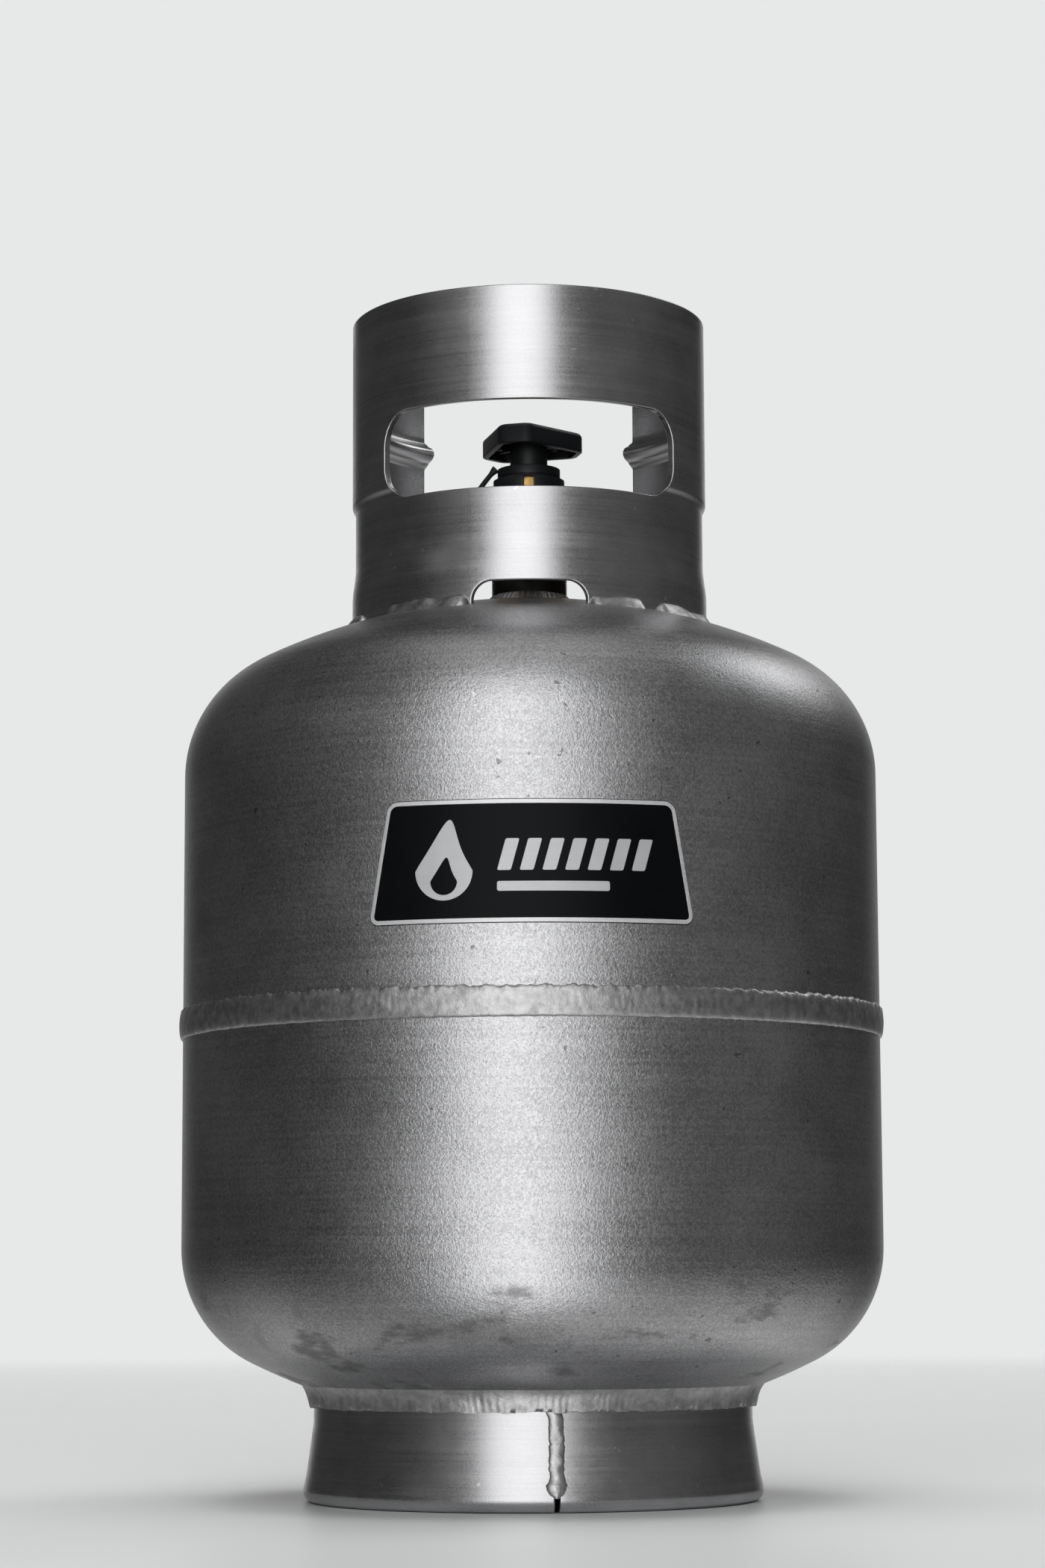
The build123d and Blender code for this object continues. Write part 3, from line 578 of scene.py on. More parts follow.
def punch(part, planes):
    """Cuts away what lies inside all the planes; each is a point in mm and a normal out of the hole."""
    inside = part.faces[:]
    for point, normal in planes:
        made = slice_through(part, point, normal, inside)
        inside = [g for g in made["geom"] if isinstance(g, bmesh.types.BMFace)
                  and (g.calc_center_median() - Vector(point) * MM).dot(Vector(normal)) < 0]
    bmesh.ops.delete(part, geom=inside, context="FACES")


def round_hole(left, right, low, high, radius, corners, segments=9):
    """Planes round a hole with rounded corners; corners names those to round, such as 'high left'."""
    planes = [((left, 0, 0), (-1, 0, 0)), ((right, 0, 0), (1, 0, 0)),
              ((0, 0, low), (0, 0, -1)), ((0, 0, high), (0, 0, 1))]
    for corner in corners:
        side, level = (-1 if "left" in corner else 1), (-1 if "low" in corner else 1)
        cx = (left if side < 0 else right) - side * radius
        cz = (low if level < 0 else high) - level * radius
        for k in range(segments):
            turn = math.radians(90 * (k + 0.5) / segments)
            out = (side * math.cos(turn), 0, level * math.sin(turn))
            planes.append(((cx + out[0] * radius, 0, cz + out[2] * radius), out))
    return planes


def thicken(part, wall, edge, skip=lambda e: False):
    """Gives a flat sheet its wall towards +Y, with rounded rims; sizes in mm."""
    home = part.verts.layers.float_vector.new("home")
    away = part.verts.layers.float_vector.new("away")
    rim = [e for e in part.edges if e.is_boundary and not skip(e)]
    outward = {}
    for e in rim:
        a, b = e.verts
        out = (b.co - a.co).normalized().cross(Vector((0, 1, 0)))
        if out.dot(e.link_faces[0].calc_center_median() - (a.co + b.co) / 2) > 0:
            out.negate()
        for v in e.verts:
            outward.setdefault(v, []).append(out)
    for v, directions in outward.items():
        mean = sum(directions, Vector()) / len(directions)
        v[home] = v.co
        v[away] = mean / max(mean.length_squared, 0.2)
    back = bmesh.ops.duplicate(part, geom=part.verts[:] + part.edges[:] + part.faces[:])["geom"]
    for g in back:
        if isinstance(g, bmesh.types.BMVert):
            g.co.y += wall * MM
    bmesh.ops.reverse_faces(part, faces=[g for g in back if isinstance(g, bmesh.types.BMFace)])
    curve = [(edge * math.sin(t), edge * (1 - math.cos(t))) for t in (math.radians(d) for d in (30, 60, 90))]
    steps = curve + [(reach, wall - depth) for reach, depth in reversed(curve[:-1])]
    steps.insert(3, (edge, wall - edge))
    steps.append((0.0, wall))
    for reach, depth in steps:
        made = bmesh.ops.extrude_edge_only(part, edges=rim)["geom"]
        fresh = {g for g in made if isinstance(g, bmesh.types.BMVert)}
        rim = [g for g in made if isinstance(g, bmesh.types.BMEdge) and set(g.verts) <= fresh]
        for v in fresh:
            v.co = Vector(v[home]) + Vector(v[away]) * reach * MM
            v.co.y = depth * MM
    bmesh.ops.remove_doubles(part, verts=part.verts, dist=1e-6)


def wrap(part, radius, surface):
    """Bends a flat part round the vertical axis; surface turns angle, height and depth into radius and height."""
    for v in part.verts:
        turn = v.co.x / MM / radius
        r, z = surface(turn, v.co.z / MM, v.co.y / MM)
        v.co = Vector((r * math.sin(turn), -r * math.cos(turn), z)) * MM
    tidy(part)


# ------------------------------------------------------------------ vessel

KNUCKLE_R = 55.6
CROWN_R = 280.0
WALL = 4.0
CROWN_DROP = math.sqrt((CROWN_R - KNUCKLE_R) ** 2 - (BODY_R - KNUCKLE_R) ** 2)
CROWN_DEG = math.degrees(math.atan2(BODY_R - KNUCKLE_R, CROWN_DROP))


def head_height(radius, top=True):
    """The height of a head's outside at a radius near its middle."""
    drop = CROWN_R - math.sqrt(CROWN_R ** 2 - radius ** 2)
    return APEX - drop if top else LOWEST + drop


def run_to(part, last, radius, z):
    new = part.verts.new((radius * MM, 0, z * MM))
    part.edges.new((last, new))
    return new


def swing(part, last, radius, z, degrees, steps):
    """Adds an arc to an outline by turning its last point about a centre."""
    made = bmesh.ops.spin(part, geom=[last], cent=(radius * MM, 0, z * MM), axis=(0, 1, 0), dvec=(0, 0, 0),
                          angle=math.radians(degrees), steps=steps, use_merge=False)
    return next(g for g in made["geom_last"] if isinstance(g, bmesh.types.BMVert))


def head(top, weld_side, hole_r, inner_end):
    """A drawn head with its straight skirt; inner_end holds the inside points next to the girth weld."""
    sign = 1 if top else -1
    tangent = TANGENT_HIGH if top else TANGENT_LOW
    hole_deg = math.degrees(math.asin(hole_r / CROWN_R))
    centre = tangent - sign * CROWN_DROP
    part = bmesh.new()
    first = last = part.verts.new((BODY_R * MM, 0, weld_side * MM))
    for share in (0.25, 0.5, 0.75, 1.0):
        last = run_to(part, last, BODY_R, weld_side + (tangent - weld_side) * share)
    last = swing(part, last, BODY_R - KNUCKLE_R, tangent, -sign * (90 - CROWN_DEG), 22)
    last = swing(part, last, 0, centre, -sign * (CROWN_DEG - hole_deg), 26)
    inner = CROWN_R - WALL
    turn = math.radians(hole_deg)
    last = run_to(part, last, inner * math.sin(turn), centre + sign * inner * math.cos(turn))
    last = swing(part, last, 0, centre, sign * (CROWN_DEG - hole_deg), 18)
    last = swing(part, last, BODY_R - KNUCKLE_R, tangent, sign * (90 - CROWN_DEG), 12)
    for radius, z in inner_end:
        last = run_to(part, last, radius, z)
    part.edges.new((last, first))
    spin_round(part, 288)
    return part


def girth_bead():
    """The girth weld: a rounded bead with puddle marks, a ragged upper toe and a smoother lower one."""
    half = 6.6
    outline = [(BODY_R - 0.7, GIRTH - half)]
    outline += [(BODY_R + 1.75 * math.cos(math.radians(t)) ** 0.75 - 0.05, GIRTH + half * math.sin(math.radians(t)))
                for t in range(-84, 85, 12)]
    outline += [(BODY_R - 0.7, GIRTH + half)]
    part = turned(outline, 1440)
    waves = sizes().weld_waves

    def change(turn, radius, z, point):
        across = (z - GIRTH) / half
        phase = waves * turn / (2 * math.pi) + 1.1 * across * across + 1.6 * rough(point, 15, 3)
        wave = math.sin(2 * math.pi * phase) * (0.5 + rough(point, 19, 8))
        crown = max(0.0, 1 - across * across)
        radius += crown * (0.05 * wave + 0.22 * rough(point, 13, 1) + 0.07 * rough(point, 2.4, 2))
        upper = ease(across, 0.30, 1.0)
        lower = ease(-across, 0.5, 1.0)
        tooth = phase % 1.0 - 0.5
        z += upper * (0.9 * tooth * (0.5 + rough(point, 9, 5)) + 1.0 * rough(point, 3.6, 4)
                      + 0.5 * rough(point, 1.3, 9) - 0.2)
        radius += upper * 0.10 * rough(point, 1.6, 10)
        z += lower * 0.28 * rough(point, 3, 6)
        return turn, min(radius, BODY_R + 1.9), z

    reshape(part, change)
    return part


def build_vessel():
    """The two heads and the girth weld."""
    part = head(True, GIRTH + 1.5, 17.0, [(BODY_R - WALL, GIRTH + 1.5)])
    put("top_head", part, ["skin"], "cylinder", ["upper_shell"])
    fold = BODY_R - WALL
    lip = [(fold, GIRTH - 10), (fold - WALL - 0.1, GIRTH - 6), (fold - WALL - 0.1, GIRTH + 14),
           (fold - 0.1, GIRTH + 14), (fold - 0.1, GIRTH + 0.5)]
    part = head(False, GIRTH - 1.5, 0.0, lip)
    put("bottom_head", part, ["skin"], "cylinder", ["lower_shell"])
    put("girth_bead", girth_bead(), ["weld"], "cylinder", ["girth_weld"], crease=60)


# ------------------------------------------------------------------ collar

COLLAR_WALL = 3.2
COLLAR_HALF_DEG = 140.5
GRIP_Z = RIM - 45.5
WINDOW_TOP = RIM - 51.0
WINDOW_LOW = WINDOW_TOP - 38.5
STEP = RIM - 85.5


def collar_surface(turn, z, depth):
    """The collar's shape: a small step to a narrower neck, a flare at the foot and pressed grips at the back."""
    neck = ease(z, STEP + 1.9, STEP - 1.9) * ease(z, APEX + 1, APEX + 17)
    radius = COLLAR_R - 1.5 * neck - depth
    along = ease(abs(math.degrees(turn)), 101.5, 106.5)
    reach = 2.3 + 2.1 * depth / COLLAR_WALL
    offset = abs(z - GRIP_Z) / reach
    if along and offset < 1.6:
        bulge = math.sqrt(1 - offset * offset) if offset < 0.9 else 0.436 * ease(-offset, -1.6, -0.9)
        radius -= 7.5 * along * bulge
    return radius, z


def build_collar():
    """The guard collar with its hand window, drain notch and grips, and its six fillet welds."""
    edge = sizes().sheet_edge / MM
    half = math.radians(COLLAR_HALF_DEG) * COLLAR_R - edge
    heights = [STEP + d for d in (-2.6, -1.9, -1.2, -0.5, 0.2, 0.9, 1.6, 2.3)]
    part = flat_sheet(half, head_height(COLLAR_R) - 2.4, RIM - edge, 188, 44, heights)
    window = math.radians(53) * COLLAR_R + edge
    every = ["low left", "low right", "high left", "high right"]
    punch(part, round_hole(-window, window, WINDOW_LOW - edge, WINDOW_TOP + edge, 15 + edge, every))
    notch_top = APEX - 2.0 + edge
    notch = round_hole(-25.6 - edge, 25.6 + edge, head_height(COLLAR_R) - 20, notch_top, 9.2, every[2:])
    punch(part, notch)
    grip_x = math.radians(100) * COLLAR_R * MM
    for k in range(-13, 14):
        near = [f for f in part.faces if abs(f.calc_center_median().x) > grip_x]
        slice_through(part, (0, 0, GRIP_Z + k * 0.5), (0, 0, 1), near)
    thicken(part, COLLAR_WALL, edge)
    wrap(part, COLLAR_R, collar_surface)
    put("guard_collar", part, ["sheet"], "cylinder", ["collar"], crease=50, weighted=True)
    put("collar_fillets", collar_fillets(), ["weld"], "cylinder", ["collar_welds"], crease=60)


def collar_fillets():
    """Six hand-laid fillet runs round the collar's foot."""
    seat = head_height(COLLAR_R)
    outline = [(COLLAR_R - 0.5, seat + 3.5), (COLLAR_R + 0.9, seat + 3.4), (COLLAR_R + 2.2, seat + 2.3),
               (COLLAR_R + 3.2, seat + 1.0), (COLLAR_R + 4.1, seat - 0.3), (COLLAR_R + 4.9, seat - 1.9),
               (COLLAR_R + 2.5, seat - 3.0), (COLLAR_R - 0.5, seat - 3.0)]
    root = (COLLAR_R + 0.4, seat - 0.6)
    piece = bmesh.new()
    for n, (start, end) in enumerate([(-132, -104), (-92, -66), (-50, -19), (19, 38), (44, 76), (100, 132)]):
        part = bmesh.new()
        ring = [part.verts.new((r * MM, 0, z * MM)) for r, z in outline]
        part.faces.new(ring)
        bmesh.ops.rotate(part, cent=(0, 0, 0), matrix=Matrix.Rotation(math.radians(start - 90), 3, "Z"),
                         verts=part.verts)
        steps = round((end - start) * 3.2)
        bmesh.ops.spin(part, geom=part.faces[:], cent=(0, 0, 0), axis=(0, 0, 1), dvec=(0, 0, 0),
                       angle=math.radians(end - start), steps=steps, use_merge=False)
        tidy(part)

        def change(turn, radius, z, point, start=start, end=end, n=n):
            degrees = math.degrees(turn)
            inset = min(degrees - start, end - degrees) / 3.0
            full = math.sqrt(max(0.0, 1 - (1 - min(1.0, inset + 0.04)) ** 2))
            swell = full * (1 + 0.30 * rough(point, 11, n) + 0.08 * rough(point, 4.0, n + 9))
            return turn, root[0] + (radius - root[0]) * swell, root[1] + (z - root[1]) * swell

        reshape(part, change)
        join(piece, part)
    return piece


# ------------------------------------------------------------------ foot ring

FOOT_SHEET = 3.5
FOOT_PATH = [(96.5, 49.0), (96.5, 34.5), (99.6, 12.0), (101.2, 5.0), (100.6, 2.3), (99.0, 0.5), (96.8, 0.0),
             (91.0, 0.0)]
FOOT_SEAM_DEG = 5.5


def path_lengths(path):
    total = [0.0]
    for a, b in zip(path, path[1:]):
        total.append(total[-1] + math.dist(a, b))
    return total


FOOT_LENGTHS = path_lengths(FOOT_PATH)


def on_foot_path(length):
    length = min(max(length, 0.0), FOOT_LENGTHS[-1])
    k = next(n for n in range(1, len(FOOT_PATH)) if length <= FOOT_LENGTHS[n] + 1e-9)
    share = (length - FOOT_LENGTHS[k - 1]) / (FOOT_LENGTHS[k] - FOOT_LENGTHS[k - 1])
    a, b = Vector(FOOT_PATH[k - 1]), Vector(FOOT_PATH[k])
    return a.lerp(b, share)


def smooth_foot(length):
    spread = min(1.3, length, FOOT_LENGTHS[-1] - length) if 0 < length < FOOT_LENGTHS[-1] else 0.0
    return sum((on_foot_path(length + k * spread / 2) for k in (-2, -1, 0, 1, 2)), Vector((0, 0))) / 5


def foot_surface(turn, z, depth):
    """The foot ring's shape; the height on the flat sheet is the way down its outside, counted downwards."""
    length = -z
    here = smooth_foot(length)
    step = smooth_foot(length + 0.4) - smooth_foot(length - 0.4)
    out = Vector((-step.y, step.x)).normalized()
    place = here - out * depth
    return place.x, max(place.y, 0.0)


def length_at_height(z):
    """How far down the foot ring's outside a height is."""
    for k in range(1, len(FOOT_PATH)):
        high, low = FOOT_PATH[k - 1][1], FOOT_PATH[k][1]
        if low <= z <= high and high > low:
            return FOOT_LENGTHS[k - 1] + (FOOT_LENGTHS[k] - FOOT_LENGTHS[k - 1]) * (high - z) / (high - low)
    return FOOT_LENGTHS[-1]


def foot_bead():
    """The weld between the bottom head and the foot ring, with overlapping puddle marks."""
    seat = head_height(96.5, False)
    outline = [(95.6, seat - 7.4), (96.7, seat - 7.3), (98.3, seat - 7.2), (98.8, seat - 5.3), (99.2, seat - 3.6),
               (99.7, seat - 2.0), (100.4, seat - 0.4), (101.2, seat + 1.0), (102.0, seat + 2.1),
               (101.0, seat + 3.6), (97.5, seat + 3.4), (95.6, seat + 1.0)]
    part = turned(outline, 1500)
    middle = seat - 2.6

    def change(turn, radius, z, point):
        across = (z - middle) / 5.4
        crown = max(0.0, 1 - across * across) if radius > 96.2 else 0.0
        phase = 205 * turn / (2 * math.pi) - 0.75 * across * across + 0.7 * rough(point, 14, 2)
        wave = math.sin(2 * math.pi * phase) * (0.45 + rough(point, 24, 9))
        radius += crown * (0.10 * wave + 0.34 * rough(point, 9, 1) + 0.10 * rough(point, 2, 4))
        lower = ease(-across, 0.5, 1.0) if radius > 96.2 else 0.0
        z += lower * (0.9 * rough(point, 5.5, 7) + 0.5 * rough(point, 1.6, 3))
        return turn, radius, z

    reshape(part, change)
    return part


def foot_seam():
    """The upright seam weld on the foot ring, with a lump above the slit at its foot."""
    start, end = length_at_height(41.5), length_at_height(6.0)
    part = flat_sheet(3.6, -end, -start, 14, 96)
    skin = part.faces[:]
    wall = bmesh.ops.extrude_face_region(part, geom=skin)["geom"]
    for g in wall:
        if isinstance(g, bmesh.types.BMVert):
            g.co.y += 0.9 * MM
    seam_turn = math.radians(FOOT_SEAM_DEG)
    for v in part.verts:
        along = -v.co.z / MM
        share = (along - start) / (end - start)
        point = (0.0, 0.0, along)
        lump = math.exp(-((share - 0.86) / 0.055) ** 2)
        width = ((0.95 + 0.10 * rough(point, 4, 1) + 0.12 * rough(point, 1.5, 2) + 0.25 * lump)
                 * (1 - 0.7 * ease(share, 0.93, 1.0)))
        across = v.co.x / (3.6 * MM)
        crown = max(0.0, 1 - across * across)
        if v.co.y < 0.5 * MM:
            height = crown ** 0.6 * (0.95 + 0.7 * lump + 0.05 * math.sin(2 * math.pi * along / 2.1)
                                     + 0.3 * rough((across * 3, 0, along), 3.4, 5)) - 0.12
            v.co.y = -max(-0.4, height) * MM
        v.co.x = (across * 3.6 * width + 0.5 * rough(point, 5, 8) - 0.9 * ease(share, 0.10, 0.0)) * MM
    for v in part.verts:
        v.co.x += seam_turn * 97.0 * MM
    wrap(part, 97.0, foot_surface)
    return part


def build_foot():
    """The foot ring with its turned-in lip and slit, its weld to the head, and its seam weld."""
    reference = 97.0
    half = math.pi * reference
    end = FOOT_LENGTHS[-1]
    edge = 0.5
    corner = [-FOOT_LENGTHS[3] + d for d in (2.2, 1.5, 0.8, 0.1, -0.6, -1.3, -2.0, -2.7, -3.4, -4.1, -4.8, -5.5, -6.2)]
    part = flat_sheet(half, -end + edge, -edge, 240, 26, corner)
    seam_x = math.radians(FOOT_SEAM_DEG) * reference
    slit_top = -length_at_height(7.0)
    punch(part, [((seam_x + 1.0 + edge, 0, 0), (1, 0, 0)), ((seam_x - 1.0 - edge, 0, 0), (-1, 0, 0)),
                 ((0, 0, slit_top + edge), (0, 0, 1))])

    def is_seam(e):
        return all(abs(abs(v.co.x) - half * MM) < 1e-6 for v in e.verts)

    thicken(part, FOOT_SHEET, edge, skip=is_seam)
    wrap(part, reference, foot_surface)
    put("foot_ring_sheet", part, ["sheet"], "cylinder", ["foot_ring"], crease=50, weighted=True)
    put("foot_bead", foot_bead(), ["weld"], "cylinder", ["foot_ring_weld"], crease=60)
    put("foot_seam", foot_seam(), ["weld"], "cylinder", ["foot_seam_weld"], crease=60)


# ------------------------------------------------------------------ nameplate

def flat_shape(points, corner=0.0, segments=6):
    """A flat face in the XZ plane from its corner points, with its corners rounded; sizes in mm."""
    part = bmesh.new()
    part.faces.new([part.verts.new((x * MM, 0, z * MM)) for x, z in points])
    if corner:
        bmesh.ops.bevel(part, geom=part.verts[:], offset=corner * MM, offset_type="OFFSET", segments=segments,
                        profile=0.5, affect="VERTICES", clamp_overlap=True, material=-1)
    return part


def slice_columns(part, reach, pitch=2.5):
    for k in range(-int(reach / pitch), int(reach / pitch) + 1):
        slice_through(part, (k * pitch + 0.1, 0, 0), (1, 0, 0))


def raise_face(part, height):
    """Lifts a flat shape towards -Y as a thin closed slab."""
    top = bmesh.ops.extrude_face_region(part, geom=part.faces[:])["geom"]
    for g in top:
        if isinstance(g, bmesh.types.BMVert):
            g.co.y -= height * MM


PLATE_HALF_FOOT, PLATE_HALF_HEAD = 68.4, 59.8    # half widths along the curve, in mm


def build_nameplate():
    """A thin curved plate: bare border, black printed field, a plain drop, slanted bars and a thin bar."""
    middle = (PLATE_LOW + PLATE_HIGH) / 2
    foot, head = PLATE_HALF_FOOT, PLATE_HALF_HEAD
    corners = [(-foot, PLATE_LOW), (foot, PLATE_LOW), (head, PLATE_HIGH), (-head, PLATE_HIGH)]
    piece = flat_shape(corners, 4.0)
    border = sizes().plate_border
    inner = piece.faces[:]
    bmesh.ops.inset_region(piece, faces=inner, thickness=border, use_even_offset=True, use_boundary=True)
    bmesh.ops.inset_region(piece, faces=inner, thickness=0.12 * MM, depth=0.0, use_even_offset=True)
    for f in inner:
        f.material_index = 1
    slice_columns(piece, 66)
    outline = [e for e in piece.edges if e.is_boundary]
    before = 0.0
    for reach, depth in ((0.12, 0.05), (0.18, 0.2), (0.18, 0.6), (0.5, 0.62), (0.5, 0.79)):
        made = bmesh.ops.extrude_edge_only(piece, edges=outline)["geom"]
        fresh = {g for g in made if isinstance(g, bmesh.types.BMVert)}
        outline = [g for g in made if isinstance(g, bmesh.types.BMEdge) and set(g.verts) <= fresh]
        for v in fresh:
            out = Vector((math.copysign(1, v.co.x) * ease(abs(v.co.x) / MM, 57, 61), 0,
                          math.copysign(1, v.co.z - middle * MM) * ease(abs(v.co.z / MM - middle), 19, 22)))
            v.co += out * (reach - before) * MM
            v.co.y = depth * MM
        # The two outermost steps reach out past the plate's edge and take the black field finish: a painted shadow line
        # in the gap under the plate.
        if depth > 0.6:
            for g in made:
                if isinstance(g, bmesh.types.BMFace):
                    g.material_index = 1
        before = reach
    wrap(piece, BODY_R, lambda turn, z, depth: (BODY_R + 0.8 - depth, z))
    for number, shape in enumerate(plate_shapes(middle)):
        raise_face(shape, 0.10 if number == 1 else 0.06)
        for f in shape.faces:
            f.material_index = 1 if number == 1 else 2
        wrap(shape, BODY_R, lambda turn, z, depth: (BODY_R + 0.79 - depth, z))
        join(piece, shape)
    put("name_plate", piece, ["plate_edge", "plate_field_and_edge_shadow", "plate_print"], "cylinder", ["nameplate"],
        crease=30)


def plate_shapes(middle):
    """The plain marks on the plate: a drop-shaped flame, a row of slanted bars and a thin bar."""
    shapes = []
    for size, lift in ((12.0, -4.0), (5.6, -8.2)):
        drop = bmesh.new()
        bmesh.ops.create_circle(drop, cap_ends=True, segments=72, radius=size * MM)
        for v in drop.verts:
            x, z = v.co.x, v.co.y
            tall = max(0.0, z / (size * MM))
            v.co = Vector((x * (1 - 0.5 * tall) - 36 * MM + 0.22 * size * MM * tall * tall * tall, 0,
                           z * (1 + 0.75 * tall * tall) + (middle + lift) * MM))
        bmesh.ops.reverse_faces(drop, faces=drop.faces[:])
        shapes.append(drop)
    for k in range(7):
        x = -14.0 + 9.2 * k
        shapes.append(flat_shape([(x, middle - 4), (x + 5.6, middle - 4), (x + 9.2, middle + 9), (x + 3.6, middle + 9)],
                                 0.7, 3))
    shapes.append(flat_shape([(-14, middle - 12.5), (32, middle - 12.5), (32, middle - 8.5), (-14, middle - 8.5)],
                             0.8, 3))
    for shape in shapes:
        slice_columns(shape, 60)
    return shapes


# ------------------------------------------------------------------ valve

def build_spud():
    """The threaded boss in the top head, and its weld."""
    apex = APEX
    outline = [(13.42, apex - 11.8), (17.0, apex - 11.8), (17.0, SPUD_TOP - 3.6), (16.75, SPUD_TOP - 3.3),
               (17.0, SPUD_TOP - 3.0), (17.0, SPUD_TOP - 1.2), (15.9, SPUD_TOP), (13.42, SPUD_TOP)]
    part = turned(outline, 144, 0.2)
    put("valve_boss", part, ["spud"], "cylinder", ["valve_spud"])
    bead = turned([(16.8, apex - 2.0), (22.4, apex - 2.0), (22.3, apex - 0.8), (20.6, apex + 0.8), (19.0, apex + 2.4),
                   (17.9, apex + 4.0), (16.8, apex + 4.9)], 420)

    def change(turn, radius, z, point):
        if radius < 17.2:
            return turn, radius, z
        out = (radius - 16.8) / 5.5
        phase = 46 * turn / (2 * math.pi) + 0.8 * out + 0.5 * rough(point, 9, 1)
        lift = 0.22 * math.sin(2 * math.pi * phase) + 0.4 * rough(point, 4, 3)
        return turn, radius + 0.7 * lift, z + 0.6 * lift * (1 - out)

    reshape(bead, change)
    put("boss_bead", bead, ["weld"], "cylinder", ["spud_weld"], crease=60)


def thread_ridge(radius, root, low, high, pitch):
    """A trapezoid ridge wound up the vertical axis."""
    part = bmesh.new()
    flat, foot = 0.17 * pitch, 0.36 * pitch
    ring = [part.verts.new((r * MM, 0, z * MM)) for r, z in
            ((root, -foot), (radius, -flat), (radius, flat), (root, foot))]
    part.faces.new(ring)
    turns = (high - low - 2 * foot) / pitch
    steps = round(turns * 64)
    bmesh.ops.spin(part, geom=part.faces[:], cent=(0, 0, 0), axis=(0, 0, 1), dvec=(0, 0, pitch * turns * MM / steps),
                   angle=2 * math.pi * turns, steps=steps, use_merge=False)
    bmesh.ops.translate(part, vec=(0, 0, (low + foot) * MM), verts=part.verts)
    tidy(part)
    soften(part, 0.25, 2, 25)
    return part


def build_valve_body():
    """The forged valve body with its wrench block, column, threaded outlet and two side ports."""
    piece = bmesh.new()
    low = box_mm("valve_body")[0].z
    block_low = SPUD_TOP + 2.0
    block_top = block_low + 11.0
    shank = [(7.1, low), (13.3, low)]
    z = low + 8
    while z < SPUD_TOP + 1.4:
        shank += [(13.3, z), (12.7, z + 0.45), (13.3, z + 0.9)]
        z += 1.8
    shank += [(13.3, block_low + 0.5), (6.0, block_low + 0.5), (6.0, low + 7.1), (7.1, low + 7.1)]
    join(piece, turned(shank, 96))
    block = bmesh.new()
    bmesh.ops.create_cube(block, size=1.0)
    bmesh.ops.scale(block, vec=(32 * MM, 32 * MM, 11 * MM), verts=block.verts)
    upright = [e for e in block.edges if abs(e.verts[0].co.z - e.verts[1].co.z) > 5 * MM]
    bmesh.ops.bevel(block, geom=upright, offset=5 * MM, offset_type="OFFSET", segments=5, profile=0.5,
                    affect="EDGES", clamp_overlap=True, material=-1)
    soften(block, 0.8, 3, 60)
    join(piece, block, Matrix.Translation((0, 0, (block_low + block_top) / 2 * MM)))
    seat = SPUD_TOP + 15
    column = [(8.0, seat), (8.0, COLUMN_TOP - 10), (11.05, COLUMN_TOP - 10), (11.05, COLUMN_TOP), (14.6, COLUMN_TOP),
              (15.5, COLUMN_TOP - 0.9), (15.5, COLUMN_TOP - 5), (14.9, COLUMN_TOP - 5.6), (14.9, COLUMN_TOP - 6.6),
              (15.5, COLUMN_TOP - 7.2), (15.5, block_top - 0.6), (4.5, block_top - 0.6), (4.5, seat)]
    join(piece, turned(column, 128, 0.25))
    face = OUTLET_FACE
    outlet = [(9.5, face - 27), (9.5, face - 12), (11.5, face - 12), (11.5, face - 0.6), (12.1, face), (13.6, face),
              (14.8, face - 1.2), (14.8, face - 19.5), (17.5, face - 20.6), (17.5, 10.0), (4.0, 10.0), (4.0, face - 27)]
    join(piece, turned(outlet, 128, 0.25), lying("+Y", OUTLET))
    ridge = thread_ridge(16.67, 14.7, face - 19.2, face - 0.9, sizes().thread_pitch / MM)
    join(piece, ridge, lying("+Y", OUTLET))
    relief = [(3.0, 10.0), (3.0, 17.0), (7.0, 17.0), (7.0, 30.0), (8.8, 30.0), (8.8, 10.0)]
    join(piece, turned(relief, 96, 0.3), lying("-Y", SIDE_PORT))
    bleed = [(1.0, 10.0), (1.0, 13.8), (2.55, 13.8), (2.55, 20.0), (5.5, 20.0), (5.5, 10.0)]
    join(piece, turned(bleed, 64, 0.25), lying("+X", SIDE_PORT))
    put("valve_forging", piece, ["forged_brass"], "cylinder", ["valve_body"])


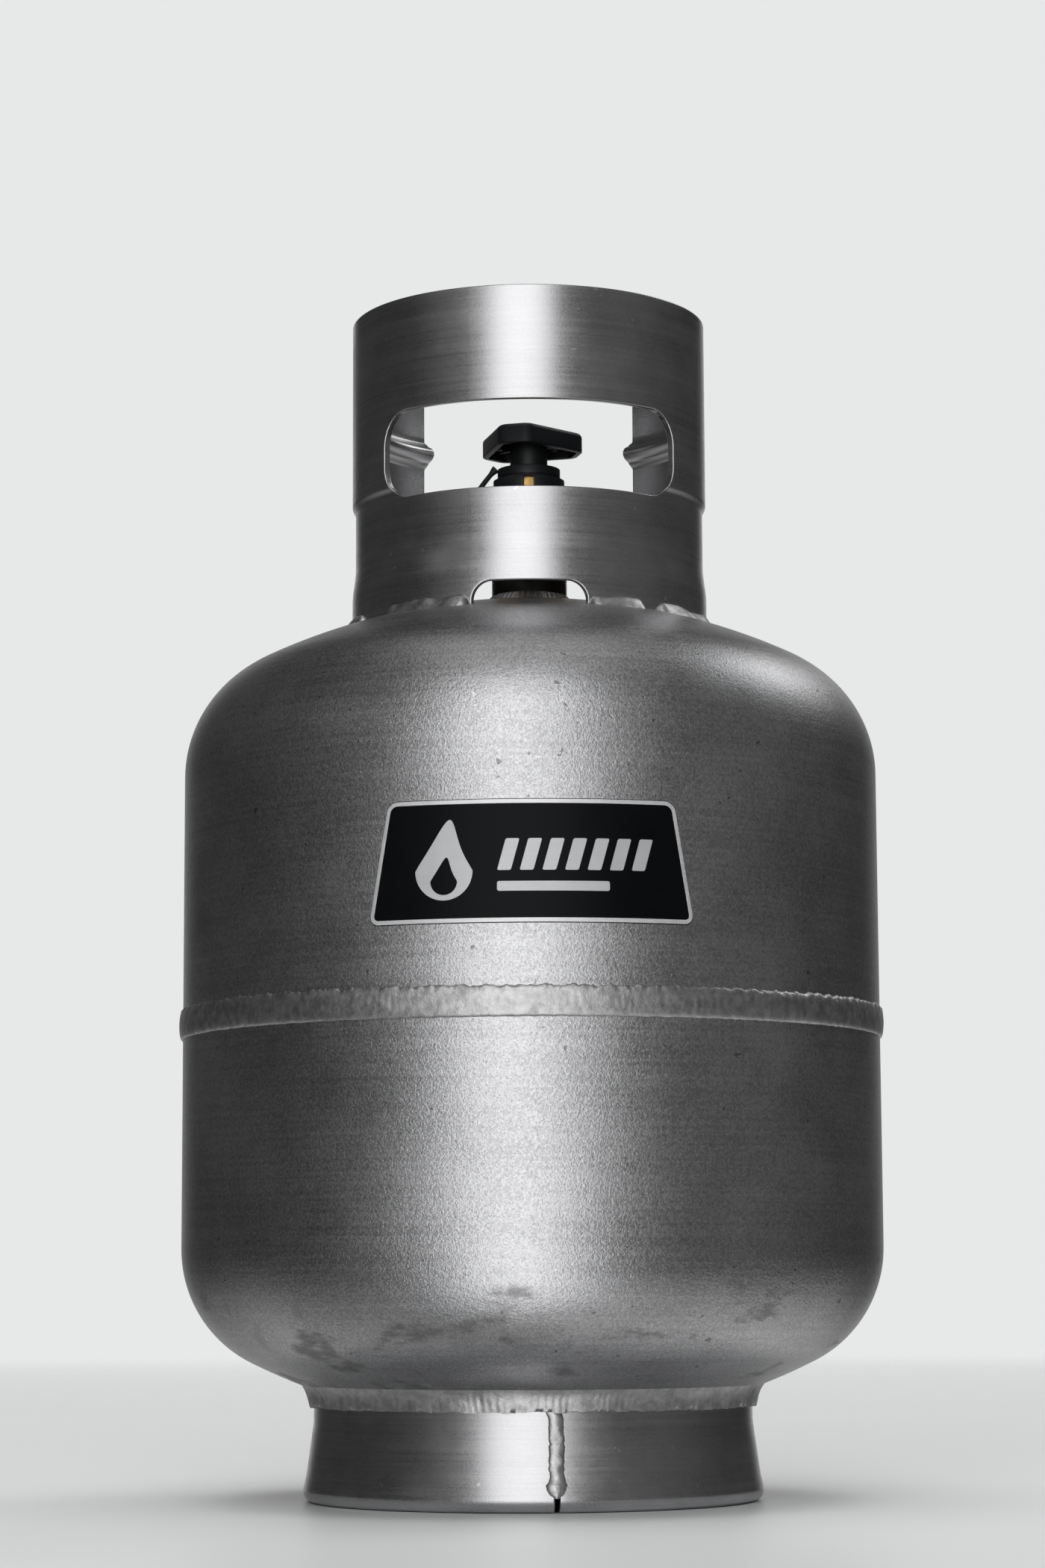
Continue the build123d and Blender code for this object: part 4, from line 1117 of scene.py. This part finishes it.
def build_bonnet():
    """The hexagon bonnet round the spindle, and the moulded shroud over it with a split black sleeve below it that is
    painted shade on the column's top.
    """
    piece = bmesh.new()
    bore = 5.06
    insert = [(bore, COLUMN_TOP - 9.9), (10.9, COLUMN_TOP - 9.9), (10.9, COLUMN_TOP + 0.1), (bore, COLUMN_TOP + 0.1)]
    join(piece, turned(insert, 96, 0.2))
    hexagon = bmesh.new()
    bmesh.ops.create_circle(hexagon, cap_ends=False, segments=6, radius=19 / math.sqrt(3) * MM)
    bmesh.ops.subdivide_edges(hexagon, edges=hexagon.edges[:], cuts=7)
    outer = hexagon.edges[:]
    inner = bmesh.ops.create_circle(hexagon, cap_ends=False, segments=48, radius=bore * MM)["verts"]
    inner_edges = list({e for v in inner for e in v.link_edges})
    bmesh.ops.bridge_loops(hexagon, edges=outer + inner_edges)
    slab = bmesh.ops.extrude_face_region(hexagon, geom=hexagon.faces[:])["geom"]
    height = BONNET_TOP - 2.2 - COLUMN_TOP
    bmesh.ops.translate(hexagon, vec=(0, 0, height * MM), verts=[g for g in slab if isinstance(g, bmesh.types.BMVert)])
    tidy(hexagon)
    soften(hexagon, 0.4, 2, 25)
    join(piece, hexagon, Matrix.Translation((0, 0, COLUMN_TOP * MM)))
    neck = [(bore, BONNET_TOP - 2.3), (8.2, BONNET_TOP - 2.3), (8.2, BONNET_TOP), (bore, BONNET_TOP)]
    join(piece, turned(neck, 96, 0.3))
    put("bonnet_nut", piece, ["brass"], "cylinder", ["bonnet"])

    piece = bmesh.new()
    low, high = COLUMN_TOP, SHROUD_TOP
    outline = [(11.45, low), (11.45, high - 1.7), (8.8, high - 1.7), (8.8, high), (10.4, high), (10.4, high - 0.4),
               (12.2, high - 0.4), (12.2, high), (14.25, high), (14.25, low + 1.4), (13.9, low + 1.2),
               (13.9, low + 0.7), (14.25, low + 0.5), (14.25, low)]
    join(piece, turned(outline, 180, 0.35))
    # A split black sleeve round the column's top, under the shroud: painted shade, since that part sits in shade under
    # the handwheel.
    shade_sleeve = bmesh.new()
    shade_sleeve.faces.new([shade_sleeve.verts.new((r * MM, 0, z * MM)) for r, z in
                      ((15.56, low - 6.4), (16.2, low - 6.4), (16.2, low + 0.1), (15.56, low + 0.1))])
    bmesh.ops.rotate(shade_sleeve, cent=(0, 0, 0), matrix=Matrix.Rotation(math.radians(-90 + 8), 3, "Z"),
                     verts=shade_sleeve.verts)
    bmesh.ops.spin(shade_sleeve, geom=shade_sleeve.faces[:], cent=(0, 0, 0), axis=(0, 0, 1), dvec=(0, 0, 0),
                   angle=math.radians(344), steps=172, use_merge=False)
    tidy(shade_sleeve)
    soften(shade_sleeve, 0.15, 2)
    join(piece, shade_sleeve)
    put("spindle_shroud_with_shade_sleeve", piece, ["moulding"], "cylinder", ["bonnet_shroud"])


def build_springs():
    """The outlet's and the relief valve's springs."""
    seat_ring = box_mm("outlet_seat_ring")[0].y
    start, end = seat_ring - 12.0, seat_ring - 3.0
    part = bmesh.new()
    join(part, coil(5.6, 0.45, end - start, 4.0), Matrix.Translation((0, start * MM, 0)) @ lying("+Y", OUTLET))
    spring = put("outlet_coil", part, ["wire"], "cylinder", ["outlet_spring"])
    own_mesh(spring)
    low, high = box_mm("relief_spring")
    part = bmesh.new()
    join(part, coil(4.3, 0.5, high.y - low.y, 4.0), Matrix.Translation((0, high.y * MM, 0)) @ lying("-Y", SIDE_PORT))
    spring = put("relief_coil", part, ["wire"], "cylinder", ["relief_spring"])
    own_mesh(spring)


# ------------------------------------------------------------------ handwheel

HUB_BELOW = 7.7
WHEEL_TURN = 44.0


def lobed_slab(height, reach=24.0, half_flat=7.0, corner=3.2):
    """A slab with three blunt lobes, turned as the wheel is at rest."""
    part = bmesh.new()
    corners = []
    for k in range(3):
        turn = Matrix.Rotation(math.radians(120 * k + WHEEL_TURN), 4, "Z")
        corners += [part.verts.new(turn @ Vector((x * MM, reach * MM, 0))) for x in (half_flat, -half_flat)]
    part.faces.new(corners)
    bmesh.ops.bevel(part, geom=part.verts[:], offset=corner * MM, offset_type="OFFSET", segments=7, profile=0.5,
                    affect="VERTICES", clamp_overlap=True, material=-1)
    top = bmesh.ops.extrude_face_region(part, geom=part.faces[:])["geom"]
    bmesh.ops.translate(part, vec=(0, 0, height * MM), verts=[g for g in top if isinstance(g, bmesh.types.BMVert)])
    tidy(part)
    return part


def end_face(part, highest):
    """The widest flat face at a slab's top or bottom."""
    level = (max if highest else min)(v.co.z for v in part.verts)
    flat = [f for f in part.faces if all(abs(v.co.z - level) < 2e-6 for v in f.verts)]
    return max(flat, key=lambda f: f.calc_area())


def round_opening(part, face, radius):
    """Opens a round hole in a flat face and gives the hole's edges."""
    rim = list(face.edges)
    level = face.verts[0].co.z
    bmesh.ops.delete(part, geom=[face], context="FACES_ONLY")
    ring = bmesh.ops.create_circle(part, cap_ends=False, segments=48, radius=radius * MM)["verts"]
    bmesh.ops.translate(part, vec=(0, 0, level), verts=ring)
    hole = list({e for v in ring for e in v.link_edges})
    bmesh.ops.bridge_loops(part, edges=rim + hole)
    return hole


def build_handwheel():
    """The three-lobed handwheel: domed top, thin skirt, hollow underside with ribs, and a hub."""
    height = WHEEL_TOP - HUB_LOW - HUB_BELOW
    piece = bmesh.new()
    body = lobed_slab(height)
    for highest, width, segments in ((True, 2.2, 5), (False, 0.6, 2)):
        bmesh.ops.bevel(body, geom=list(end_face(body, highest).edges), offset=width * MM, offset_type="OFFSET",
                        segments=segments, profile=0.5, affect="EDGES", clamp_overlap=True, material=-1)
    under = end_face(body, False)
    bmesh.ops.inset_region(body, faces=[under], thickness=2.0 * MM, use_even_offset=True)
    lifted = bmesh.ops.extrude_face_region(body, geom=[under])["geom"]
    bmesh.ops.delete(body, geom=[under], context="FACES_ONLY")
    bmesh.ops.translate(body, vec=(0, 0, (height - 3.0) * MM),
                        verts=[g for g in lifted if isinstance(g, bmesh.types.BMVert)])
    under = next(g for g in lifted if isinstance(g, bmesh.types.BMFace))
    top = end_face(body, True)
    bmesh.ops.inset_region(body, faces=[top], thickness=3.0 * MM, use_even_offset=True)
    bmesh.ops.inset_region(body, faces=[top], thickness=0.5 * MM, depth=-0.4 * MM, use_even_offset=True)
    rims = [round_opening(body, top, 5.2), round_opening(body, under, 5.2)]
    bmesh.ops.bridge_loops(body, edges=rims[0] + rims[1])
    join(piece, body)
    hub = [(5.3, -HUB_BELOW), (8.5, -HUB_BELOW), (8.5, height - 2.99), (2.3, height - 2.99), (2.3, height - 5.2),
           (4.7, height - 5.2), (4.7, 1.0 - HUB_BELOW), (5.3, 1.0 - HUB_BELOW)]
    join(piece, turned(hub, 96, 0.4))
    for k in range(3):
        turn = Matrix.Rotation(math.radians(120 * k + WHEEL_TURN), 4, "Z")
        rib = bmesh.new()
        bmesh.ops.create_cube(rib, size=1.0)
        bmesh.ops.scale(rib, vec=(2.0 * MM, 15.4 * MM, (height - 5.0) * MM), verts=rib.verts)
        soften(rib, 0.35, 2, 60)
        join(piece, rib, turn @ Matrix.Translation((0, 15.2 * MM, (height / 2 + 0.1) * MM)))
        for side in (-1, 1):
            boss = turned([(0.0, 2.6), (1.5, 2.6), (1.5, height - 2.9), (0.0, height - 2.9)], 32, 0.4)
            spot = turn @ Matrix.Rotation(math.radians(side * 21), 4, "Z")
            join(piece, boss, spot @ Matrix.Translation((0, 14.5 * MM, 0)))
    bmesh.ops.translate(piece, vec=(0, 0, (HUB_LOW + HUB_BELOW) * MM), verts=piece.verts)
    put("hand_wheel", piece, ["moulding"], "spindle", ["handwheel"], crease=40)


# ------------------------------------------------------------------ dust plug

def build_dust_plug():
    """The outlet's dust plug: fluted flange, hollow nose and a pull."""
    piece = bmesh.new()
    face = OUTLET_FACE + 0.1
    flange = turned([(0.0, 0.0), (14.5, 0.0), (16.2, 0.0), (16.2, 3.7), (13.0, 3.7), (12.4, 3.2), (0.0, 3.2)], 224, 0.5)
    grips = sizes().plug_grips

    def flute(turn, radius, z, point):
        if radius > 15.4:
            radius -= 0.45 * (0.5 + 0.5 * math.cos(grips * turn))
        return turn, radius, z

    reshape(flange, flute)
    join(piece, flange, Matrix.Translation((0, face * MM, 0)) @ lying("+Y", OUTLET))
    nose = [(9.6, -8.1), (11.0, -8.1), (11.2, -7.6), (11.2, 0.2), (0.0, 0.2), (0.0, -0.2), (9.6, -0.2)]
    join(piece, turned(nose, 96, 0.25), Matrix.Translation((0, face * MM, 0)) @ lying("+Y", OUTLET))
    pull = flat_shape([(-6, -8), (6, -8), (6, 8), (-6, 8)], 2.4, 5)
    bmesh.ops.inset_region(pull, faces=pull.faces[:], thickness=2.8 * MM, use_even_offset=True, use_boundary=True)
    middle = min(pull.faces, key=lambda f: f.calc_center_median().length)
    bmesh.ops.delete(pull, geom=[middle], context="FACES_ONLY")
    wall = bmesh.ops.extrude_face_region(pull, geom=pull.faces[:])["geom"]
    bmesh.ops.translate(pull, vec=(0, 8.9 * MM, 0), verts=[g for g in wall if isinstance(g, bmesh.types.BMVert)])
    tidy(pull)
    soften(pull, 0.6, 3, 50)
    join(piece, pull, Matrix.Translation((0, (face + 2.8) * MM, OUTLET * MM)))
    put("outlet_dust_plug", piece, ["moulding"], "dust_plug", ["dust_plug"])


def build_tether():
    """The plug's tether: a flat moulded strap from the shroud, down past the valve and round to the plug."""
    start = Vector((-14.9, 1.0, SHROUD_TOP + 1.0))
    end = Vector((-6.6, OUTLET_FACE + 9.6, OUTLET))
    points = [start + Vector(step) for step in ((0, 0, 0), (-3.6, 1, -3.4), (-13.0, 6, -15.6), (-24.5, 19, -30.5))]
    points += [end + Vector(step) for step in ((-36.0, -8.0, -11.0), (-27.0, 2.4, -10.0), (-9.0, 1.6, -1.5), (0, 0, 0))]
    route = bpy.data.curves.new("route", "CURVE")
    route.dimensions = "3D"
    spline = route.splines.new("NURBS")
    spline.points.add(len(points) - 1)
    for spot, point in zip(spline.points, points):
        spot.co = (*(point * MM), 1)
    spline.order_u = 4
    spline.use_endpoint_u = True
    spline.resolution_u = 14
    line = bpy.data.objects.new("route", route)
    bpy.context.scene.collection.objects.link(line)
    bpy.context.view_layer.update()
    mesh = bpy.data.meshes.new_from_object(line)
    way = [v.co.copy() for v in mesh.vertices]
    bpy.data.meshes.remove(mesh)
    bpy.data.objects.remove(line)
    bpy.data.curves.remove(route)

    part = bmesh.new()
    rings = []
    for k, spot in enumerate(way):
        ahead = (way[min(k + 1, len(way) - 1)] - way[max(k - 1, 0)]).normalized()
        outward = Vector((spot.x, spot.y, 0)).normalized()
        flat = ahead.cross(outward).normalized()
        thick = flat.cross(ahead).normalized()
        share = k / (len(way) - 1)
        swell = 1 + 0.7 * ease(share, 0.05, 0.0) + 0.5 * ease(share, 0.95, 1.0)
        ring = bmesh.ops.create_circle(part, cap_ends=False, segments=20, radius=1.0)["verts"]
        for v in ring:
            turn = math.atan2(v.co.y, v.co.x)
            c, s = math.cos(turn), math.sin(turn)
            wide = math.copysign(abs(c) ** 0.45, c) * 2.45 * (0.85 + 0.15 * swell)
            deep = math.copysign(abs(s) ** 0.6, s) * 1.1 * swell
            v.co = spot + (flat * wide + thick * deep) * MM
        rings.append(ring)
    for a, b in zip(rings, rings[1:]):
        edges = {e for v in a + b for e in v.link_edges if len(e.link_faces) < 2}
        edges = [e for e in edges if set(e.verts) <= set(a) or set(e.verts) <= set(b)]
        bmesh.ops.bridge_loops(part, edges=edges)
    for ring in (rings[0], rings[-1]):
        bmesh.ops.contextual_create(part, geom=ring)
    tidy(part)
    strap = put("plug_strap", part, ["moulding"], None, ["plug_tether"], crease=60)
    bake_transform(strap)


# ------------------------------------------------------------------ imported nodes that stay

STAYING = {
    "brass": ["spindle", "seat_plug", "outlet_seat_ring", "outlet_poppet", "relief_poppet", "relief_nut",
              "bleed_screw", "stop_housing", "stop_piston"],
    "moulding": ["relief_cap"],
    "float": ["overfill_float"],
    "nylon": ["seat_disc"],
    "rubber": ["stem_seals", "outlet_seal", "relief_seal"],
    "steel": ["handwheel_screw", "handwheel_washer", "level_tube", "float_pin", "float_arm"],
}


def dress_packed_nodes():
    """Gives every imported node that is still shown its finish."""
    for name, nodes in STAYING.items():
        for node in nodes:
            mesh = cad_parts[node].data
            mesh.materials.clear()
            mesh.materials.append(finish(name))


# ------------------------------------------------------------------ studio

def studio_world():
    """A pale room to the camera; what the metal mirrors is a tall front light, a top light and a dim room."""
    studio = bpy.context.scene.cylinder_studio
    world = bpy.data.worlds.new("Studio")
    bpy.context.scene.world = world
    world.use_nodes = True
    n = Nodes(world.node_tree)
    direction = n.node("ShaderNodeTexCoord", output="Generated")
    x, y, z = n.axes(direction)
    azimuth = n.node("ShaderNodeMath", {"operation": "ARCTAN2"}, {0: x, 1: y * -1.0})
    rise = n.node("ShaderNodeMath", {"operation": "ARCSINE"}, {0: z})

    def lamp(centre_deg, half_deg, soft_deg, low_deg, high_deg, soft_rise_deg=12.0):
        """1 inside a soft-edged window of directions."""
        off = abs(azimuth - math.radians(centre_deg))
        across = n.band(off, math.radians(half_deg + soft_deg), math.radians(half_deg - soft_deg))
        above = n.band(rise, math.radians(low_deg - soft_rise_deg), math.radians(low_deg + soft_rise_deg))
        below = n.band(rise, math.radians(high_deg + soft_rise_deg), math.radians(high_deg - soft_rise_deg))
        return across * above * below

    front = lamp(-5.5, 20, 7, -52, 61, 9) * studio.key
    left_skirt = lamp(-40, 17, 16, -30, 40) * 0.10
    corner = lamp(127, 12, 7, 34, 51, 7) * 3.4
    left_spot = lamp(-64, 7, 6, 24, 34, 5) * 0.5
    right_fill = lamp(48, 42, 30, -30, 60, 25) * 0.07
    back = lamp(176, 16, 8, -12, 24, 8) * 0.8
    back_left = lamp(-176, 16, 8, -12, 24, 8) * 0.8
    soft_ray = n.node("ShaderNodeLightPath", output="Is Diffuse Ray")
    overhead = n.band(rise, math.radians(62), math.radians(76)) * (0.12 + soft_ray * 0.88) * studio.top
    side = n.band(azimuth, math.radians(-60), math.radians(50))
    ground = n.band(rise, -0.24, -0.80) * (0.22 + side * 0.24)
    rear = n.band(abs(azimuth), math.radians(80), math.radians(125)) * n.band(rise, -0.10, -0.45) * 0.22
    light = (front + left_skirt + corner + left_spot + right_fill + back + back_left + overhead + ground + rear
             + studio.fill)
    mirrored = n.node("ShaderNodeBackground", sockets={"Color": (1.0, 1.0, 1.0), "Strength": light})
    pale = tuple(studio.floor)
    seen = n.node("ShaderNodeBackground", sockets={"Color": pale, "Strength": 1.0})
    camera_ray = n.node("ShaderNodeLightPath", output="Is Camera Ray")
    mixed = n.node("ShaderNodeMixShader", sockets={0: camera_ray, 1: mirrored, 2: seen})
    end = n.tree.nodes.new("ShaderNodeOutputWorld")
    n.tree.links.new(mixed.socket, end.inputs["Surface"])


def floor_finish():
    """Pale satin floor that fades out with distance, so that it meets the room without a line."""
    f = Finish("Studio floor")
    place = f.place()
    x, y, _ = f.axes(place)
    away = (x * x + y * y).math("SQRT")
    shown = f.band(away, 3.4, 1.0)
    mottle = f.clouds(place, 3, 3, 0.5)
    colour = tuple(bpy.context.scene.cylinder_studio.floor)
    base = f.blend(mottle, shade(colour, 1.02), shade(colour, 1.06))
    return f.surface(Base_Color=base, Roughness=0.42 + (mottle - 0.5) * 0.05, Alpha=shown, Specular_IOR_Level=0.3)


FLOOR_RADIUS, UNDER_FOOT_RADIUS = 3.6, 0.14              # in metres
CAMERA_PLACE = (-3.5, -1651.5, 94.0)                      # in mm, in front of the foot
CAMERA_TILT_DEG, CAMERA_ROLL = 97.70, -0.0044             # degrees up from straight down, and radians


def floor_disc(name, radius, drop, material):
    """A flat disc in metres, a hair (drop, in mm) under the foot's plane."""
    part = bmesh.new()
    bmesh.ops.create_circle(part, cap_ends=True, segments=96, radius=radius)
    bmesh.ops.translate(part, vec=(0, 0, -drop * MM), verts=part.verts)
    mesh = bpy.data.meshes.new(name)
    part.to_mesh(mesh)
    part.free()
    mesh.materials.append(material)
    disc = bpy.data.objects.new(name, mesh)
    bpy.context.scene.collection.objects.link(disc)
    return disc


def build_studio():
    """The floor, the room's light and the camera."""
    studio_world()
    pale = floor_finish()
    ground = floor_disc("studio_floor", FLOOR_RADIUS, 0.05, pale)
    ground.visible_glossy = False
    floor_disc("floor_under_foot", UNDER_FOOT_RADIUS, 0.03, pale)
    lens = bpy.data.cameras.new("front_camera")
    lens.lens = bpy.context.scene.cylinder_studio.lens
    lens.sensor_width = 36.0
    lens.clip_start, lens.clip_end = 0.05, 100.0
    camera = bpy.data.objects.new("front_camera", lens)
    bpy.context.scene.collection.objects.link(camera)
    aim = Matrix.Rotation(math.radians(CAMERA_TILT_DEG), 4, "X") @ Matrix.Rotation(CAMERA_ROLL, 4, "Z")
    camera.matrix_world = Matrix.Translation([value * MM for value in CAMERA_PLACE]) @ aim
    bpy.context.scene.camera = camera
    bpy.context.scene.view_settings.view_transform = "Standard"
    bpy.context.scene.view_settings.look = "None"


# ------------------------------------------------------------------ operators and panel

class CYLINDER_OT_studio(bpy.types.Operator):
    """The floor, the room's light and the camera."""

    bl_idname = "cylinder.studio"
    bl_label = "Studio"
    bl_options = {"REGISTER", "UNDO"}

    def execute(self, context):
        build_studio()
        return {"FINISHED"}


class CYLINDER_OT_vessel(bpy.types.Operator):
    """The two heads and the girth weld."""

    bl_idname = "cylinder.vessel"
    bl_label = "Vessel"
    bl_options = {"REGISTER", "UNDO"}

    def execute(self, context):
        build_vessel()
        return {"FINISHED"}


class CYLINDER_OT_collar(bpy.types.Operator):
    """The guard collar with its hand window, drain notch and grips, and its six fillet welds."""

    bl_idname = "cylinder.collar"
    bl_label = "Guard collar"
    bl_options = {"REGISTER", "UNDO"}

    def execute(self, context):
        build_collar()
        return {"FINISHED"}


class CYLINDER_OT_foot(bpy.types.Operator):
    """The foot ring with its turned-in lip and slit, its weld to the head, and its seam weld."""

    bl_idname = "cylinder.foot"
    bl_label = "Foot ring"
    bl_options = {"REGISTER", "UNDO"}

    def execute(self, context):
        build_foot()
        return {"FINISHED"}


class CYLINDER_OT_nameplate(bpy.types.Operator):
    """A thin curved plate: bare border, black printed field, a plain drop, slanted bars and a thin bar."""

    bl_idname = "cylinder.nameplate"
    bl_label = "Nameplate"
    bl_options = {"REGISTER", "UNDO"}

    def execute(self, context):
        build_nameplate()
        return {"FINISHED"}


class CYLINDER_OT_spud(bpy.types.Operator):
    """The threaded boss in the top head, and its weld."""

    bl_idname = "cylinder.spud"
    bl_label = "Valve boss"
    bl_options = {"REGISTER", "UNDO"}

    def execute(self, context):
        build_spud()
        return {"FINISHED"}


class CYLINDER_OT_valve_body(bpy.types.Operator):
    """The forged valve body with its wrench block, column, threaded outlet and two side ports."""

    bl_idname = "cylinder.valve_body"
    bl_label = "Valve body"
    bl_options = {"REGISTER", "UNDO"}

    def execute(self, context):
        build_valve_body()
        return {"FINISHED"}


class CYLINDER_OT_bonnet(bpy.types.Operator):
    """The hexagon bonnet round the spindle, and the moulded shroud over it with a split black sleeve below it that is
    painted shade on the column's top.
    """

    bl_idname = "cylinder.bonnet"
    bl_label = "Bonnet and shroud"
    bl_options = {"REGISTER", "UNDO"}

    def execute(self, context):
        build_bonnet()
        return {"FINISHED"}


class CYLINDER_OT_springs(bpy.types.Operator):
    """The outlet's and the relief valve's springs."""

    bl_idname = "cylinder.springs"
    bl_label = "Springs"
    bl_options = {"REGISTER", "UNDO"}

    def execute(self, context):
        build_springs()
        return {"FINISHED"}


class CYLINDER_OT_handwheel(bpy.types.Operator):
    """The three-lobed handwheel: domed top, thin skirt, hollow underside with ribs, and a hub."""

    bl_idname = "cylinder.handwheel"
    bl_label = "Handwheel"
    bl_options = {"REGISTER", "UNDO"}

    def execute(self, context):
        build_handwheel()
        return {"FINISHED"}


class CYLINDER_OT_dust_plug(bpy.types.Operator):
    """The outlet's dust plug: fluted flange, hollow nose and a pull."""

    bl_idname = "cylinder.dust_plug"
    bl_label = "Dust plug"
    bl_options = {"REGISTER", "UNDO"}

    def execute(self, context):
        build_dust_plug()
        return {"FINISHED"}


class CYLINDER_OT_tether(bpy.types.Operator):
    """The plug's tether: a flat moulded strap from the shroud, down past the valve and round to the plug."""

    bl_idname = "cylinder.tether"
    bl_label = "Tether"
    bl_options = {"REGISTER", "UNDO"}

    def execute(self, context):
        build_tether()
        return {"FINISHED"}


class CYLINDER_OT_dress(bpy.types.Operator):
    """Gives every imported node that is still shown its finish."""

    bl_idname = "cylinder.dress"
    bl_label = "Packed nodes"
    bl_options = {"REGISTER", "UNDO"}

    def execute(self, context):
        dress_packed_nodes()
        return {"FINISHED"}


OPERATORS = [
    CYLINDER_OT_studio, CYLINDER_OT_vessel, CYLINDER_OT_collar, CYLINDER_OT_foot,
    CYLINDER_OT_nameplate, CYLINDER_OT_spud, CYLINDER_OT_valve_body, CYLINDER_OT_bonnet,
    CYLINDER_OT_springs, CYLINDER_OT_handwheel, CYLINDER_OT_dust_plug, CYLINDER_OT_tether,
    CYLINDER_OT_dress,
]


class CYLINDER_PT_panel(bpy.types.Panel):
    """Lists the sizes, the colours and the pieces."""

    bl_idname = "CYLINDER_PT_panel"
    bl_label = "Propane cylinder"
    bl_space_type = "VIEW_3D"
    bl_region_type = "UI"
    bl_category = "Cylinder"

    def draw(self, context):
        for group in (context.scene.cylinder_sizes, context.scene.cylinder_finish, context.scene.cylinder_studio):
            box = self.layout.box()
            for name in group.__annotations__:
                box.prop(group, name)
        for item in OPERATORS:
            self.layout.operator(item.bl_idname)


GROUPS = {"cylinder_sizes": CylinderSizes, "cylinder_finish": CylinderFinish, "cylinder_studio": StudioSettings}


def register():
    for item in (*GROUPS.values(), *OPERATORS, CYLINDER_PT_panel):
        bpy.utils.register_class(item)
    for name, group in GROUPS.items():
        setattr(bpy.types.Scene, name, PointerProperty(type=group))


def unregister():
    for name in GROUPS:
        delattr(bpy.types.Scene, name)
    for item in reversed((*GROUPS.values(), *OPERATORS, CYLINDER_PT_panel)):
        bpy.utils.unregister_class(item)


def main():
    """Registers the add-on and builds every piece."""
    register()
    for item in OPERATORS:
        group, name = item.bl_idname.split(".")
        getattr(getattr(bpy.ops, group), name)()


if __name__ == "__main__":
    main()
